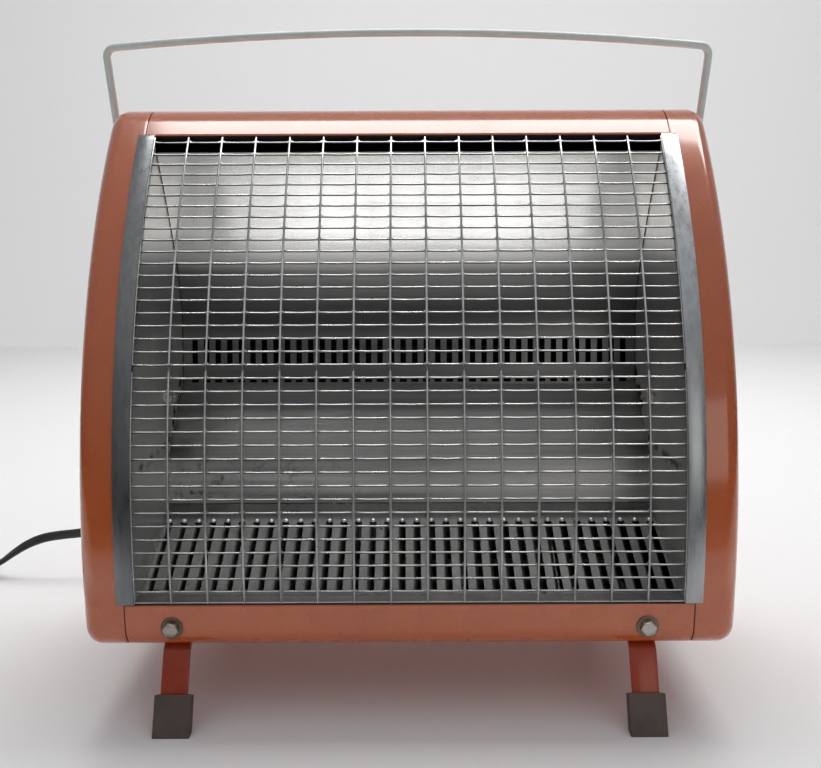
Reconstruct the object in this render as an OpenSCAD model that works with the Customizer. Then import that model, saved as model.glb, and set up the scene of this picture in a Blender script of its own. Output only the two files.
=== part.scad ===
// Portable fan heater: a sheet-metal cabinet with a bowed wire grille, a bail handle and strap legs.
// The cabinet's side outline is kept as a depth behind the front face and a height above the floor.
// X runs across the width, Y to the back and Z up, with the floor at Z = 0.

/* [Cabinet] */
// Width over both end caps
case_w = 456; // [440:1:480]
// Depth from the front face to the back
case_d = 225; // [215:1:240]
// Height of the cabinet without its legs
case_h = 380; // [370:1:395]
// Height of the cabinet's underside above the floor
leg_clear = 56; // [50:1:70]
// Radius of the bowed front
front_r = 505; // [490:1:560]
// Height of the start of the bow above the underside
bow_start = 39.3; // [36:0.1:44]
// Radius that rolls the front into the top
top_front_r = 35; // [30:1:45]
// Radius between the top and the back
top_back_r = 28; // [20:1:35]
// Radius of the two lower edges
low_r = 16; // [14:1:18]
// Thickness of the painted sheet
sheet = 0.9; // [0.7:0.1:1.2]

/* [End caps] */
// Width of one end cap, from its seam to its outer face
cap_w = 31; // [28:1:36]
// Radius round the outer rim of an end cap
cap_round = 12; // [8:1:13]
// Depth of the flange that an end cap turns in at its seam
cap_flange = 8; // [6:0.5:9]

/* [Grille] */
// Height of the opening's lower lip above the underside
lip_rise = 34; // [32:0.5:36]
// Length along the bow from the opening's upper lip to the roll
lip_back = 12; // [8:0.5:20]
// Distance between the cross wires along the bow
cross_pitch = 9.33; // [9.2:0.01:9.4]
// Length along the bow to the lowest cross wire
first_cross = 2.8; // [2:0.1:4]
// Distance from an end cap's outer face to the outermost upright
side_w = 37.5; // [36:0.5:40]
// Number of upright wires
upright_count = 16; // [14:2:16]
// Diameter of a cross wire
cross_d = 1.5; // [1.2:0.1:1.8]
// Diameter of an upright wire
upright_d = 1.6; // [1.4:0.1:2]
// Depth of the grille below the skin of the cabinet
wire_sink = 1; // [1:0.1:1.5]
// Length of an upright that tucks in under the upper lip
tuck = 6; // [3:0.5:8]
// Width of a polished trim strip
strip_w = 12.4; // [11:0.1:14]
// Thickness of a polished trim strip
strip_t = 0.8; // [0.6:0.1:1.2]

/* [Inside panels] */
// Thickness of the polished sheet
liner = 0.6; // [0.5:0.1:0.8]
// Distance between the slots of the floor louvre
floor_pitch = 11.2; // [10:0.1:13]
// Width of a slot in the floor louvre
floor_slot = 5.6; // [4.5:0.1:6.5]
// Distance between the slots of the back row
row_pitch = 9.7; // [9:0.1:11]
// Width of a slot in the back row
row_slot = 4.6; // [4:0.1:5.5]
// Length of a slot in the back row
row_slot_l = 28; // [20:1:34]

/* [Handle] */
// Diameter of the handle's rod
rod_d = 6; // [5:0.1:6.5]
// Gap between the handle's legs and the end caps
rod_gap = 3; // [2.5:0.5:5]
// Depth of the handle's pivots below the cabinet's top
pivot_drop = 56; // [50:1:65]
// Depth of the handle's pivots behind the front face
pivot_depth = 179; // [174:1:184]
// Distance from the pivots to the middle of the grip
handle_reach = 119; // [115:1:130]
// Rise of the bowed grip over its ends
grip_bow = 10; // [6:1:14]
// Radius of the rod's two upper corners
handle_r = 8; // [7:0.5:12]
// Lean of the handle towards the front
handle_lean = 17.4; // [5:0.1:25]
// Gap between the rod and its bush
pivot_gap = 0.06; // [0.02:0.01:0.1]

/* [Legs] */
// Width of a leg strap
strap_w = 19; // [16:0.5:22]
// Thickness of a leg strap
strap_t = 3; // [2.5:0.1:3.5]
// Distance from an end cap's outer face to the middle of a leg strap
strap_inset = 63; // [53:1:73]
// Lean of a leg away from the upright
leg_lean = 25.5; // [20:0.5:30]
// Distance by which a leg's foot stands out past the cabinet
foot_out = 14; // [10:0.5:16]
// Width of a foot tip
tip_w = 26; // [24:0.5:30]
// Thickness of a foot tip
tip_t = 8; // [7:0.5:9]
// Length of a foot tip along the leg
tip_len = 27; // [22:0.5:32]

/* [Fan and heat] */
// Diameter of the fan
fan_d = 124; // [110:1:128]
// Gap between the fan and the cabinet's underside
fan_gap = 12; // [10:0.5:14]
// Number of fan blades
blade_count = 5; // [3:1:6]
// Diameter of the motor's shaft
shaft_d = 6; // [5:0.1:6]
// Gap between a turning shaft and its bearing
shaft_gap = 0.05; // [0.02:0.01:0.1]
// Diameter of the sheathed heating rod
heat_d = 7; // [6:0.1:8]

/* [Control] */
// Diameter of the control knob
knob_d = 34; // [28:1:40]
// Depth of the control knob
knob_h = 13; // [10:1:16]
// Distance from an end cap's outer face to the control's middle
knob_inset = 90; // [80:1:100]
// Height of the control above the underside
knob_rise = 144; // [130:1:160]

/* [Cord] */
// Width of the flat cord
cord_w = 9; // [8:0.1:9.2]
// Thickness of the flat cord
cord_t = 5.2; // [4.8:0.1:5.4]

/* [Hidden] */
$fn = 48;

// Gap left between two pieces that only touch
touch = 0.1;
half_w = case_w / 2;
seam_x = half_w - cap_w;
z_low = leg_clear;
z_top = leg_clear + case_h;
z_bow = leg_clear + bow_start;
z_lip = leg_clear + lip_rise;
// Lean of the surface where the bow meets the roll at the top
roll_lean = asin((z_top - z_bow - top_front_r) / (front_r - top_front_r));
// Centres of the outline's round stretches, as depth and height
bow_c = [front_r, z_bow];
roll_c = bow_c + (front_r - top_front_r) * [-cos(roll_lean), sin(roll_lean)];
back_c = [case_d - top_back_r, z_top - top_back_r];
low_back_c = [case_d - low_r, z_low + low_r];
low_front_c = [low_r, z_low + low_r];
deg = 180 / PI;
open_arc = front_r * roll_lean / deg - lip_back;
cross_count = floor((open_arc - first_cross) / cross_pitch) + 1;
wire_half = half_w - side_w;
upright_pitch = 2 * wire_half / (upright_count - 1);
strap_x = half_w - strap_inset;
knob_x = half_w - knob_inset;
fan_r = fan_d / 2;
fan_z = z_low + fan_gap + fan_r;

// Point on the bow, as depth and height, at a length along it and a depth below the skin
function on_bow(s, sink) = s < 0 ? [sink, z_bow + s]
  : bow_c + (front_r - sink) * [-cos(s / front_r * deg), sin(s / front_r * deg)];
function y_of(depth) = depth - case_d / 2;
function arc(c, r, a0, a1, n) = [for (i = [0:n]) let (a = a0 + (a1 - a0) * i / n) c + r * [cos(a), sin(a)]];
function tail(v) = [for (i = [1:len(v) - 1]) v[i]];

// The cabinet's side outline, moved in by an inset, as a closed loop that starts at the lower front edge
function outline(inset) = concat(
  arc(low_front_c, low_r - inset, 180, 270, 5),
  arc(low_back_c, low_r - inset, 270, 360, 5),
  arc(back_c, top_back_r - inset, 0, 90, 6),
  arc(roll_c, top_front_r - inset, 90, 180 - roll_lean, 5),
  tail(arc(bow_c, front_r - inset, 180 - roll_lean, 180, 20)));

// Paths of bent sheet: each inner corner of the list is rounded by its own radius
function unit(v) = v / norm(v);
function left_of(v) = [-v.y, v.x];
function spin(v, a) = [v.x * cos(a) - v.y * sin(a), v.x * sin(a) + v.y * cos(a)];
function turn(a, b) = atan2(a.x * b.y - a.y * b.x, a * b);
function bend(p, d1, d2, r, n) =
  let (phi = turn(d1, d2), start = p - d1 * r * tan(abs(phi) / 2), c = start + sign(phi) * r * left_of(d1))
  [for (k = [0:n]) c + spin(start - c, phi * k / n)];
function bent(pts, radii, n = 4) = concat([pts[0]],
  [for (i = [1:len(pts) - 2])
    each bend(pts[i], unit(pts[i] - pts[i - 1]), unit(pts[i + 1] - pts[i]), radii[i - 1], n)],
  [pts[len(pts) - 1]]);
function mitre(path, i) =
  let (n = len(path) - 1,
    a = unit(path[max(i, 1)] - path[max(i, 1) - 1]),
    b = unit(path[min(i, n - 1) + 1] - path[min(i, n - 1)]),
    m = unit(a + b))
  left_of(m) / (m * a);
// Outline of a sheet of thickness t whose middle follows the path
function ribbon(path, t) = concat(
  [for (i = [0:len(path) - 1]) path[i] + mitre(path, i) * t / 2],
  [for (i = [len(path) - 1:-1:0]) path[i] - mitre(path, i) * t / 2]);

// Draws a side outline, given as depth and height, from x0 to x1 across the cabinet
module across(x0, x1) {
  translate([x0, y_of(0), 0]) rotate([90, 0, 90]) linear_extrude(height = x1 - x0) children();
}
// Draws a shape given as x and height, from one depth to another
module through(d0, d1) {
  translate([0, y_of(d1), 0]) rotate([90, 0, 0]) linear_extrude(height = d1 - d0) children();
}
// A round bar along Y at a place across and up, from one depth to another
module bar_y(x, z, d0, d1, r) {
  translate([x, y_of(d1), z]) rotate([90, 0, 0]) cylinder(h = d1 - d0, r = r);
}
// A round bar along X from x0 to x1
module bar_x(x0, x1, depth, z, r) {
  translate([x0, y_of(depth), z]) rotate([0, 90, 0]) cylinder(h = x1 - x0, r = r);
}
// Sweeps a profile of radius and x about the bow's axis, between two lengths along the bow
module along_bow(s0, s1) {
  translate([0, y_of(front_r), z_bow]) rotate([90, 0, -90]) rotate([0, 0, s0 / front_r * deg])
    rotate_extrude(angle = (s1 - s0) / front_r * deg, $fn = 240) children();
}
// An insulated wire through the given points
module wire(points, d) {
  for (i = [0:len(points) - 2]) {
    v = points[i + 1] - points[i];
    translate(points[i]) rotate([0, acos(v.z / norm(v)), atan2(v.y, v.x)])
      cylinder(h = norm(v), d = d, $fn = 16);
  }
  for (i = [1:len(points) - 2]) translate(points[i]) sphere(d = d + 0.4, $fn = 16);
}

enamel = [0.69, 0.36, 0.25];
bright = [0.8, 0.8, 0.82];
polished = [0.72, 0.73, 0.76];
dark = [0.2, 0.19, 0.18];
black = [0.07, 0.07, 0.07];

// Screw places
rail_screw_z = z_low + low_r + 1;
back_top_z = z_top - top_back_r - touch;
back_low_z = z_low + low_r + 4;
back_half = seam_x + 8;
side_screw_x = seam_x + 4;
side_screw_z = [back_low_z + 24, (back_low_z + back_top_z) / 2, back_top_z - 18];
middle_screw_z = [back_low_z + 7, back_top_z - 8];
screw_r = 1.9;
hole_gap = 0.2;
back_lap = 20;
vent_pitch = 20;
vent_count = floor(2 * (strap_x - 45) / vent_pitch);

module side_screw_holes() {
  for (z = side_screw_z) bar_y(side_screw_x, z, case_d - 3, case_d + 3, screw_r + hole_gap);
}
module middle_screw_holes() {
  for (z = middle_screw_z) bar_y(0, z, case_d - 3, case_d + 3, screw_r + hole_gap);
}

// The top sheet: upper lip of the opening, roll, top, and a flange down the back
module wrap_panel() {
  half = sheet / 2;
  path = concat(
    [on_bow(open_arc, half)],
    arc(roll_c, top_front_r - half, 180 - roll_lean, 90, 8),
    arc(back_c, top_back_r - half, 90, 0, 8),
    [[case_d - half, back_top_z - back_lap]]);
  color(enamel) difference() {
    across(touch - seam_x, seam_x - touch) polygon(ribbon(path, sheet));
    middle_screw_holes();
  }
}

// The bottom sheet: ledge behind the lower lip, front rail, underside, and a flange up the back
lip_ledge = 12;
module bottom_pan() {
  half = sheet / 2;
  path = concat(
    bent([[lip_ledge, z_lip - half], [half, z_lip - half], [half, z_low + low_r]], [1]),
    arc(low_front_c, low_r - half, 180, 270, 8),
    arc(low_back_c, low_r - half, 270, 360, 8),
    [[case_d - half, back_low_z + back_lap - 6]]);
  color(enamel) difference() {
    across(touch - seam_x, seam_x - touch) polygon(ribbon(path, sheet));
    middle_screw_holes();
    for (s = [-1, 1]) bar_y(s * strap_x, rail_screw_z, -1, 3, rail_screw_r + hole_gap);
    for (s = [-1, 1], d = leg_screw_depths)
      translate([s * strap_x, y_of(d), z_low - 1]) cylinder(h = 3, r = screw_r + hole_gap);
    for (side = [-1, 1], i = [0:vent_count - 1])
      translate([(i - (vent_count - 1) / 2) * vent_pitch - 6, y_of(case_d / 2 + side * 30 + 10), z_low - 1])
        cube([12, 3, 3]);
  }
}

// A stamped end cap: rolled rim, flat side, and a flange turned in at the seam
cap_inner = cap_round - sheet;
cap_steps = 5;
cap_rings = concat(
  [for (k = [0:cap_steps]) let (a = 90 * k / cap_steps)
    [half_w - cap_round + cap_round * cos(a), cap_round - cap_round * sin(a)]],
  [[seam_x, 0], [seam_x, cap_flange], [seam_x + sheet, cap_flange], [seam_x + sheet, sheet]],
  [for (k = [cap_steps:-1:0]) let (a = 90 * k / cap_steps)
    [half_w - cap_round + cap_inner * cos(a), cap_round - cap_inner * sin(a)]]);
bush_r = 5.5;
module cap_shell() {
  loops = [for (r = cap_rings) [for (p = outline(r[1])) [r[0], y_of(p.x), p.y]]];
  n = len(loops[0]);
  last = len(loops) - 1;
  polyhedron(
    points = [for (l = loops) each l],
    faces = concat(
      [[for (i = [n - 1:-1:0]) i]],
      [[for (i = [0:n - 1]) last * n + i]],
      [for (k = [0:last - 1], i = [0:n - 1]) let (j = (i + 1) % n)
        [k * n + i, k * n + j, (k + 1) * n + j, (k + 1) * n + i]]),
    convexity = 6);
}
module end_cap() {
  color(enamel) difference() {
    cap_shell();
    bar_x(half_w - 6, half_w + 3, pivot_depth, pivot_z, bush_r);
    side_screw_holes();
  }
}
module right_end_cap() { end_cap(); }
module left_end_cap() { mirror([1, 0, 0]) end_cap(); }

// The back cover, with air slots behind the fan and two rows near the top
air_pitch = 10.5;
air_half = floor(fan_r / air_pitch) + 1;
top_vent_pitch = 22;
top_vent_half = floor((back_half - 40) / top_vent_pitch);
module back_panel() {
  color(enamel) difference() {
    through(case_d + touch, case_d + touch + sheet) difference() {
      translate([-back_half, back_low_z]) square([2 * back_half, back_top_z - back_low_z]);
      translate([0, fan_z]) intersection() {
        circle(r = fan_r - 4);
        for (i = [-air_half:air_half], s = [-1, 1])
          translate([s * (fan_r / 2 + 1) - fan_r / 2 + 3, i * air_pitch - 2.5]) square([fan_r - 6, 5]);
      }
      for (i = [-top_vent_half:top_vent_half], z = [0, 16])
        translate([i * top_vent_pitch - 8, back_top_z - 62 + z]) square([16, 4]);
      translate([knob_x, knob_z]) circle(r = nut_bore + touch);
      translate([relief_x, relief_z]) circle(r = relief_r1 - 1.6);
    }
    middle_screw_holes();
    side_screw_holes();
    mirror([1, 0, 0]) side_screw_holes();
  }
}

// The cover's screws: three into each end cap and one at the middle of each end
module cover_screw(x, z) {
  bar_y(x, z, case_d - 4, case_d + touch + sheet, screw_r);
  bar_y(x, z, case_d + touch + sheet, case_d + touch + sheet + 2, 3.6);
}
module back_screws() {
  color(bright) {
    for (s = [-1, 1], z = side_screw_z) cover_screw(s * side_screw_x, z);
    for (z = middle_screw_z) cover_screw(0, z);
  }
}

// Grille: straight cross wires behind uprights that follow the bow
cross_sink = wire_sink + upright_d + cross_d / 2 + 0.02;
upright_sink = wire_sink + upright_d / 2;
wire_over = 1.2;
module grille_cross_wires() {
  color(bright) for (i = [0:cross_count - 1]) {
    p = on_bow(first_cross + i * cross_pitch, cross_sink);
    bar_x(-wire_half - wire_over, wire_half + wire_over, p.x, p.y, cross_d / 2, $fn = 24);
  }
}
module grille_uprights() {
  color(bright) for (i = [0:upright_count - 1]) {
    x = (i - (upright_count - 1) / 2) * upright_pitch;
    along_bow(0, open_arc + tuck) translate([front_r - upright_sink, -x]) circle(d = upright_d, $fn = 24);
    translate([x, y_of(upright_sink), z_lip + touch])
      cylinder(h = z_bow - z_lip - touch, d = upright_d, $fn = 24);
  }
}

// Polished strips over the seams beside the opening
strip_lap = 0.5;
strip_in = wire_half - strip_lap;
module trim_strip(side) {
  color(polished) {
    along_bow(0, open_arc) translate([front_r + touch, side > 0 ? -strip_in - strip_w : strip_in])
      square([strip_t, strip_w]);
    translate([side > 0 ? strip_in : -strip_in - strip_w, y_of(-touch - strip_t), z_lip])
      cube([strip_w, strip_t, z_bow - z_lip]);
  }
}
module left_trim_strip() { trim_strip(-1); }
module right_trim_strip() { trim_strip(1); }

// Inside panels. The hollow behind the grille is closed by a curved reflector, a slotted back row,
// a sloping hood with its upright front, and a sloping floor louvre.
liner_x = strip_in;
panel_half = liner_x - 0.2;
grille_back = cross_sink + cross_d / 2 + 0.6;
// Corners of the hollow, as depth and height. Its top hangs from the upper lip, its foot stands on the
// lower lip, and its back keeps its distance from the cover and the fan.
hang_back = 11.6;
fold_drop = 12;
knee_drop = 96;
hood_from_back = 67;
hood_w = 55;
hood_h = 49;
hood_over_fan = 24;
foot_step = 5;
foot_rise = 42;
row_step = 2;
reflector_top = on_bow(open_arc - hang_back, grille_back + 1);
reflector_fold = reflector_top - [1, fold_drop];
knee_z = z_top - knee_drop;
hood_top = [case_d - hood_from_back, fan_z + fan_r + hood_over_fan];
hood_knee = hood_top - [hood_w, hood_h];
hood_foot = [hood_knee.x - foot_step, z_lip + foot_rise];
floor_front = [lip_ledge + 1, z_lip + liner];
row_low = hood_top + [row_step, 1.5];

// The reflector is flat down to its knee, then round, then flat again where the row of slots is
knee_lean = 36.5;
row_lean = -8;
row_len = 46.6;
row_start = row_low + row_len * [-sin(row_lean), cos(row_lean)];
reflector_r = (knee_z - row_start.y) / (sin(knee_lean) - sin(row_lean));
reflector_c = row_start - reflector_r * [cos(row_lean), sin(row_lean)];
reflector_path = concat([reflector_top, reflector_fold],
  arc(reflector_c, reflector_r, knee_lean, row_lean, 14), [row_low]);
row_margin = 7.5;
row_count = floor(2 * (panel_half - row_margin - row_slot / 2) / row_pitch) + 1;
row_from = 3;
dash_h = 2;
dash_up = 1.2;
module row_cut(x, from, length) {
  translate([x - row_slot / 2, y_of(row_start.x), row_start.y]) rotate([row_lean - 90, 0, 0])
    translate([0, from, -3]) cube([row_slot, length, 6]);
}
module reflector() {
  color(polished) difference() {
    across(-panel_half, panel_half) polygon(ribbon(reflector_path, liner));
    for (i = [0:row_count - 1]) {
      x = (i - (row_count - 1) / 2) * row_pitch;
      row_cut(x, row_from, row_slot_l);
      row_cut(x, row_len - dash_up - dash_h, dash_h);
    }
  }
}

// Side liners: flat polished plates that close the ends of the hollow
module liner_plate() {
  points = concat(
    [for (i = [0:12]) on_bow(first_cross + i / 12 * (open_arc - first_cross - 6), grille_back)],
    reflector_path,
    [hood_top - [2, 0], hood_knee, hood_foot, floor_front]);
  color(polished) difference() {
    across(liner_x, liner_x + liner) polygon(points);
    bar_x(liner_x - 1, liner_x + 2, bushing_at.x, bushing_at.y, bushing_neck + touch);
  }
}
module right_liner() { liner_plate(); }
module left_liner() { mirror([1, 0, 0]) liner_plate(); }

// Porcelain bushings in the side liners
bushing_back = 54;
bushing_at = hood_top - [bushing_back, 1];
bushing_r = 7;
bushing_neck = 4.5;
module bushing() {
  bar_x(liner_x - 6, liner_x - touch, bushing_at.x, bushing_at.y, bushing_r);
  bar_x(liner_x - touch, liner_x + 4, bushing_at.x, bushing_at.y, bushing_neck);
  bar_x(liner_x - 9, liner_x - 6, bushing_at.x, bushing_at.y, 2.5);
}
module side_bushings() {
  color([0.82, 0.8, 0.72]) {
    bushing();
    mirror([1, 0, 0]) bushing();
  }
}

// Hood: the sloping plate over the fan and its upright front
module outlet_hood() {
  color(polished) across(-panel_half, panel_half)
    polygon(ribbon(bent([hood_top, hood_knee, hood_foot], [3]), liner));
}

// Floor louvre: a sloping plate of long slots, each with a fin bent down along one side
floor_dir = unit(hood_foot - floor_front);
floor_len = norm(hood_foot - floor_front);
floor_tilt = atan2(floor_dir.y, floor_dir.x);
floor_lap = 8;
floor_t = 0.8;
slot_start = 3;
slot_len = floor_len - 25;
fin_w = 5;
fin_t = 0.7;
fin_lean = 50;
bump_r = 1.9;
floor_margin = 2;
floor_count = floor(2 * (panel_half - floor_margin - floor_slot / 2) / floor_pitch) + 1;
floor_x = [for (i = [0:floor_count - 1]) (i - (floor_count - 1) / 2) * floor_pitch];
// Point of the floor's side outline at a length up its slope and a distance below it
function under_floor(along, below) = floor_front + along * floor_dir - below * left_of(floor_dir);
module on_floor() {
  translate([0, y_of(floor_front.x), floor_front.y]) rotate([floor_tilt, 0, 0]) children();
}
module floor_louvre() {
  color(polished) {
    difference() {
      across(-panel_half, panel_half) polygon(ribbon(
        bent([floor_front - [floor_lap, 0], floor_front, hood_foot - 1.4 * floor_dir], [2]), floor_t));
      on_floor() for (x = floor_x) translate([x - floor_slot / 2, slot_start, -2])
        cube([floor_slot, slot_len, 4]);
    }
    on_floor() for (x = floor_x) {
      translate([x - floor_slot / 2, slot_start + 1, 0.2]) rotate([0, fin_lean, 0])
        translate([-0.3, 0, -fin_t]) cube([fin_w, slot_len - 2, fin_t]);
      translate([x, slot_start + slot_len + bump_r, 0]) sphere(r = bump_r, $fn = 24);
    }
  }
}

// Screws through the front rail, with washers and nuts
rail_screw_r = 2.5;
washer_t = 1.2;
washer_r = 7.75;
hex_af = 10;
module rail_screws() {
  color(bright) for (s = [-1, 1]) {
    bar_y(s * strap_x, rail_screw_z, -touch - washer_t, 7, rail_screw_r);
    bar_y(s * strap_x, rail_screw_z, -touch - washer_t - 4, -touch - washer_t,
      hex_af / 2 / cos(30), $fn = 6);
  }
}
module rail_washers() {
  color(bright) for (s = [-1, 1]) difference() {
    bar_y(s * strap_x, rail_screw_z, -touch - washer_t, -touch, washer_r);
    bar_y(s * strap_x, rail_screw_z, -3, 1, rail_screw_r + touch);
  }
}
nut_half = 4.5;
nut_t = 3.5;
// Depth of the rail's inner face at the nut's lower edge, where the rail already rounds in
nut_seat = low_r - sqrt(pow(low_r - sheet, 2) - pow(low_front_c.y - rail_screw_z + nut_half, 2));
module rail_nuts() {
  color(bright) for (s = [-1, 1]) difference() {
    translate([s * strap_x - nut_half, y_of(nut_seat + touch), rail_screw_z - nut_half])
      cube([2 * nut_half, nut_t, 2 * nut_half]);
    bar_y(s * strap_x, rail_screw_z, -1, 8, rail_screw_r + touch);
  }
}

// Heating rod: a sheathed rod bent into four passes, in a plane below the floor louvre
heat_drop = 24;
heat_side = 40;
heat_reach = liner_x - heat_side;
heat_tail = 24;
heat_first = 16;
heat_end = 24.5;
heat_last = floor_len - heat_end;
heat_passes = 4;
heat_pitch = (heat_last - heat_first) / (heat_passes - 1);
module on_heat_plane() {
  on_floor() translate([0, heat_first, -heat_drop]) children();
}
module heating_rod() {
  r = heat_pitch / 2;
  color(dark) on_heat_plane() {
    for (i = [0:heat_passes - 1]) {
      extra = i == 0 || i == heat_passes - 1 ? heat_tail : 0;
      translate([-heat_reach - extra, i * heat_pitch, 0]) rotate([0, 90, 0])
        cylinder(h = 2 * heat_reach + extra, d = heat_d);
    }
    // Like the handle's, these bends are thinner by a hair and run a little way into the straights
    for (i = [0:heat_passes - 2]) {
      s = i % 2 == 0 ? 1 : -1;
      translate([s * heat_reach, (i + 0.5) * heat_pitch, 0]) rotate([0, 0, s > 0 ? -91.5 : 88.5])
        rotate_extrude(angle = 183) translate([r, 0]) circle(d = heat_d - 0.04);
    }
  }
}

// Stands that carry the heating rod above the underside
stand_t = 1.2;
stand_x = heat_reach - heat_side;
stand_edge = 8;
module heater_stands() {
  front = under_floor(heat_first - stand_edge, heat_drop - heat_d);
  rear = under_floor(heat_last + stand_edge, heat_drop - heat_d);
  base = z_low + sheet + touch;
  color(bright) for (x = [-stand_x, 0, stand_x]) difference() {
    across(x - stand_t / 2, x + stand_t / 2)
      polygon([[front.x, base], [rear.x, base], rear, front]);
    on_heat_plane() for (i = [0:heat_passes - 1]) translate([x - 5, i * heat_pitch, 0])
      rotate([0, 90, 0]) cylinder(h = 10, r = heat_d / 2 + touch);
  }
}

// Fan shroud: a plate across the cabinet with a flanged ring for the fan
shroud_back = 75;
shroud_depth = case_d - shroud_back;
shroud_side = 4;
shroud_half = panel_half - shroud_side;
shroud_over_fan = 13;
shroud_top = fan_z + fan_r + shroud_over_fan;
ring_gap = 3;
ring_l = 10;
module fan_shroud() {
  base = z_low + sheet + touch;
  color(bright) {
    through(shroud_depth, shroud_depth + sheet) difference() {
      translate([-shroud_half, base]) square([2 * shroud_half, shroud_top - base]);
      translate([0, fan_z]) circle(r = fan_r + ring_gap);
      for (s = [-1, 1], z = [-6, 6]) translate([s * bracket_foot, fan_z + z]) circle(r = screw_r);
    }
    through(shroud_depth - ring_l, shroud_depth + sheet / 2) difference() {
      translate([0, fan_z]) circle(r = fan_r + ring_gap + sheet);
      translate([0, fan_z]) circle(r = fan_r + ring_gap);
    }
  }
}

// Bracket that holds the motor behind the fan
bracket_gap = 28;
bracket_depth = shroud_depth + bracket_gap;
bracket_t = 1.5;
bracket_foot = fan_r + ring_gap + 12;
bracket_h = 22;
bolt_x = 24;
bolt_r = 1.75;
module motor_bracket() {
  foot = shroud_depth + sheet + touch + bracket_t / 2;
  mid = bracket_depth + bracket_t / 2;
  path = bent([[-bracket_foot - 8, foot], [8 - bracket_foot, foot], [14 - bracket_foot, mid],
    [bracket_foot - 14, mid], [bracket_foot - 8, foot], [bracket_foot + 8, foot]], [2, 2, 2, 2]);
  color(bright) difference() {
    translate([0, y_of(0), fan_z - bracket_h / 2]) linear_extrude(height = bracket_h)
      polygon(ribbon(path, bracket_t));
    bar_y(0, fan_z, bracket_depth - 5, bracket_depth + 5, boss_r + 0.5);
    for (s = [-1, 1]) bar_y(s * bolt_x, fan_z, bracket_depth - 5, bracket_depth + 5, bolt_r + hole_gap);
  }
}

// Motor: bearing bars in front of and behind a laminated stack, with the coil on its lower limb
stack_l = 16;
stack_w = 66;
stack_h = 66;
stack_drop = 44;
stack_bore = 13;
limb_h = 9;
window = [36, 12];
boss_r = 7;
boss_l = 2;
bar_t = 3;
bar_end = 6;
bar_gap = 5;
front_bar = bracket_depth + bracket_t + touch;
stack_depth = front_bar + bar_t + bar_gap;
rear_bar = stack_depth + stack_l + bar_gap;
module motor_stack() {
  color(dark) through(stack_depth, stack_depth + stack_l) difference() {
    translate([-stack_w / 2, fan_z - stack_drop]) square([stack_w, stack_h]);
    translate([0, fan_z]) circle(r = stack_bore);
    translate([-window.x / 2, fan_z - stack_drop + limb_h]) square(window);
    for (s = [-1, 1]) translate([s * bolt_x, fan_z]) circle(r = bolt_r + hole_gap);
  }
}
coil_w = window.x - 6;
coil_wall = 4.4;
module motor_coil() {
  low = fan_z - stack_drop;
  side = coil_wall + touch;
  color([0.45, 0.3, 0.16]) difference() {
    translate([-coil_w / 2, y_of(stack_depth - side), low - side])
      cube([coil_w, stack_l + 2 * side, limb_h + 2 * side]);
    translate([-window.x / 2, y_of(stack_depth - touch), low - touch])
      cube([window.x, stack_l + 2 * touch, limb_h + 2 * touch]);
  }
}
module bearing_bar(depth, t) {
  difference() {
    union() {
      through(depth, depth + t) translate([-bolt_x - bar_end, fan_z - bar_end])
        square([2 * (bolt_x + bar_end), 2 * bar_end]);
      bar_y(0, fan_z, depth - boss_l, depth + t + boss_l, boss_r);
    }
    bar_y(0, fan_z, depth - 6, depth + t + 6, shaft_d / 2 + shaft_gap);
    for (s = [-1, 1]) bar_y(s * bolt_x, fan_z, depth - 3, depth + t + 3, bolt_r + hole_gap);
  }
}
module motor_bearings() {
  color(bright) {
    bearing_bar(front_bar, bar_t);
    bearing_bar(rear_bar, bar_t);
  }
}
module motor_bolts() {
  color(bright) for (s = [-1, 1]) {
    bar_y(s * bolt_x, fan_z, bracket_depth, rear_bar + bar_t, bolt_r);
    bar_y(s * bolt_x, fan_z, bracket_depth - 2.5, bracket_depth - touch, 3.5);
    bar_y(s * bolt_x, fan_z, bracket_depth - touch, bracket_depth, bolt_r);
    bar_y(s * bolt_x, fan_z, rear_bar + bar_t + touch, rear_bar + bar_t + 3, 3.5, $fn = 6);
    bar_y(s * bolt_x, fan_z, rear_bar + bar_t, rear_bar + bar_t + touch, bolt_r);
  }
}
hub_depth = shroud_depth;
hub_l = 20;
module motor_shaft() {
  color(bright) {
    bar_y(0, fan_z, hub_depth - 4, rear_bar + bar_t + 5, shaft_d / 2);
    bar_y(0, fan_z, stack_depth - 2, stack_depth + stack_l + 2, stack_bore - 0.5);
  }
}

// Fan: curved blades on a hub with a bore for the shaft
blade_pitch = 30;
blade_curve = 62;
blade_t = 1;
hub_r = 14;
module blade_outline() {
  intersection() {
    difference() {
      circle(r = fan_r);
      circle(r = hub_r - 4);
    }
    polygon([[0, -9], [fan_r, -26], [fan_r + 20, 0], [fan_r, 25], [0, 8]]);
  }
}
module blade() {
  intersection() {
    translate([0, 0, -14]) linear_extrude(height = 28) blade_outline();
    translate([0, -blade_curve * sin(blade_pitch), blade_curve * cos(blade_pitch)]) rotate([0, 90, 0])
      difference() {
        cylinder(h = fan_r + 5, r = blade_curve + blade_t / 2, $fn = 96);
        translate([0, 0, -1]) cylinder(h = fan_r + 7, r = blade_curve - blade_t / 2, $fn = 96);
      }
  }
}
module fan_blade() {
  color([0.55, 0.56, 0.58]) translate([0, y_of(hub_depth), fan_z]) rotate([-90, 0, 0]) difference() {
    union() {
      translate([0, 0, -hub_l / 2 + 4]) cylinder(h = hub_l, r = hub_r);
      for (i = [0:blade_count - 1]) rotate([0, 0, i * 360 / blade_count]) blade();
    }
    translate([0, 0, -20]) cylinder(h = 50, r = shaft_d / 2 + 0.02);
  }
}

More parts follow.
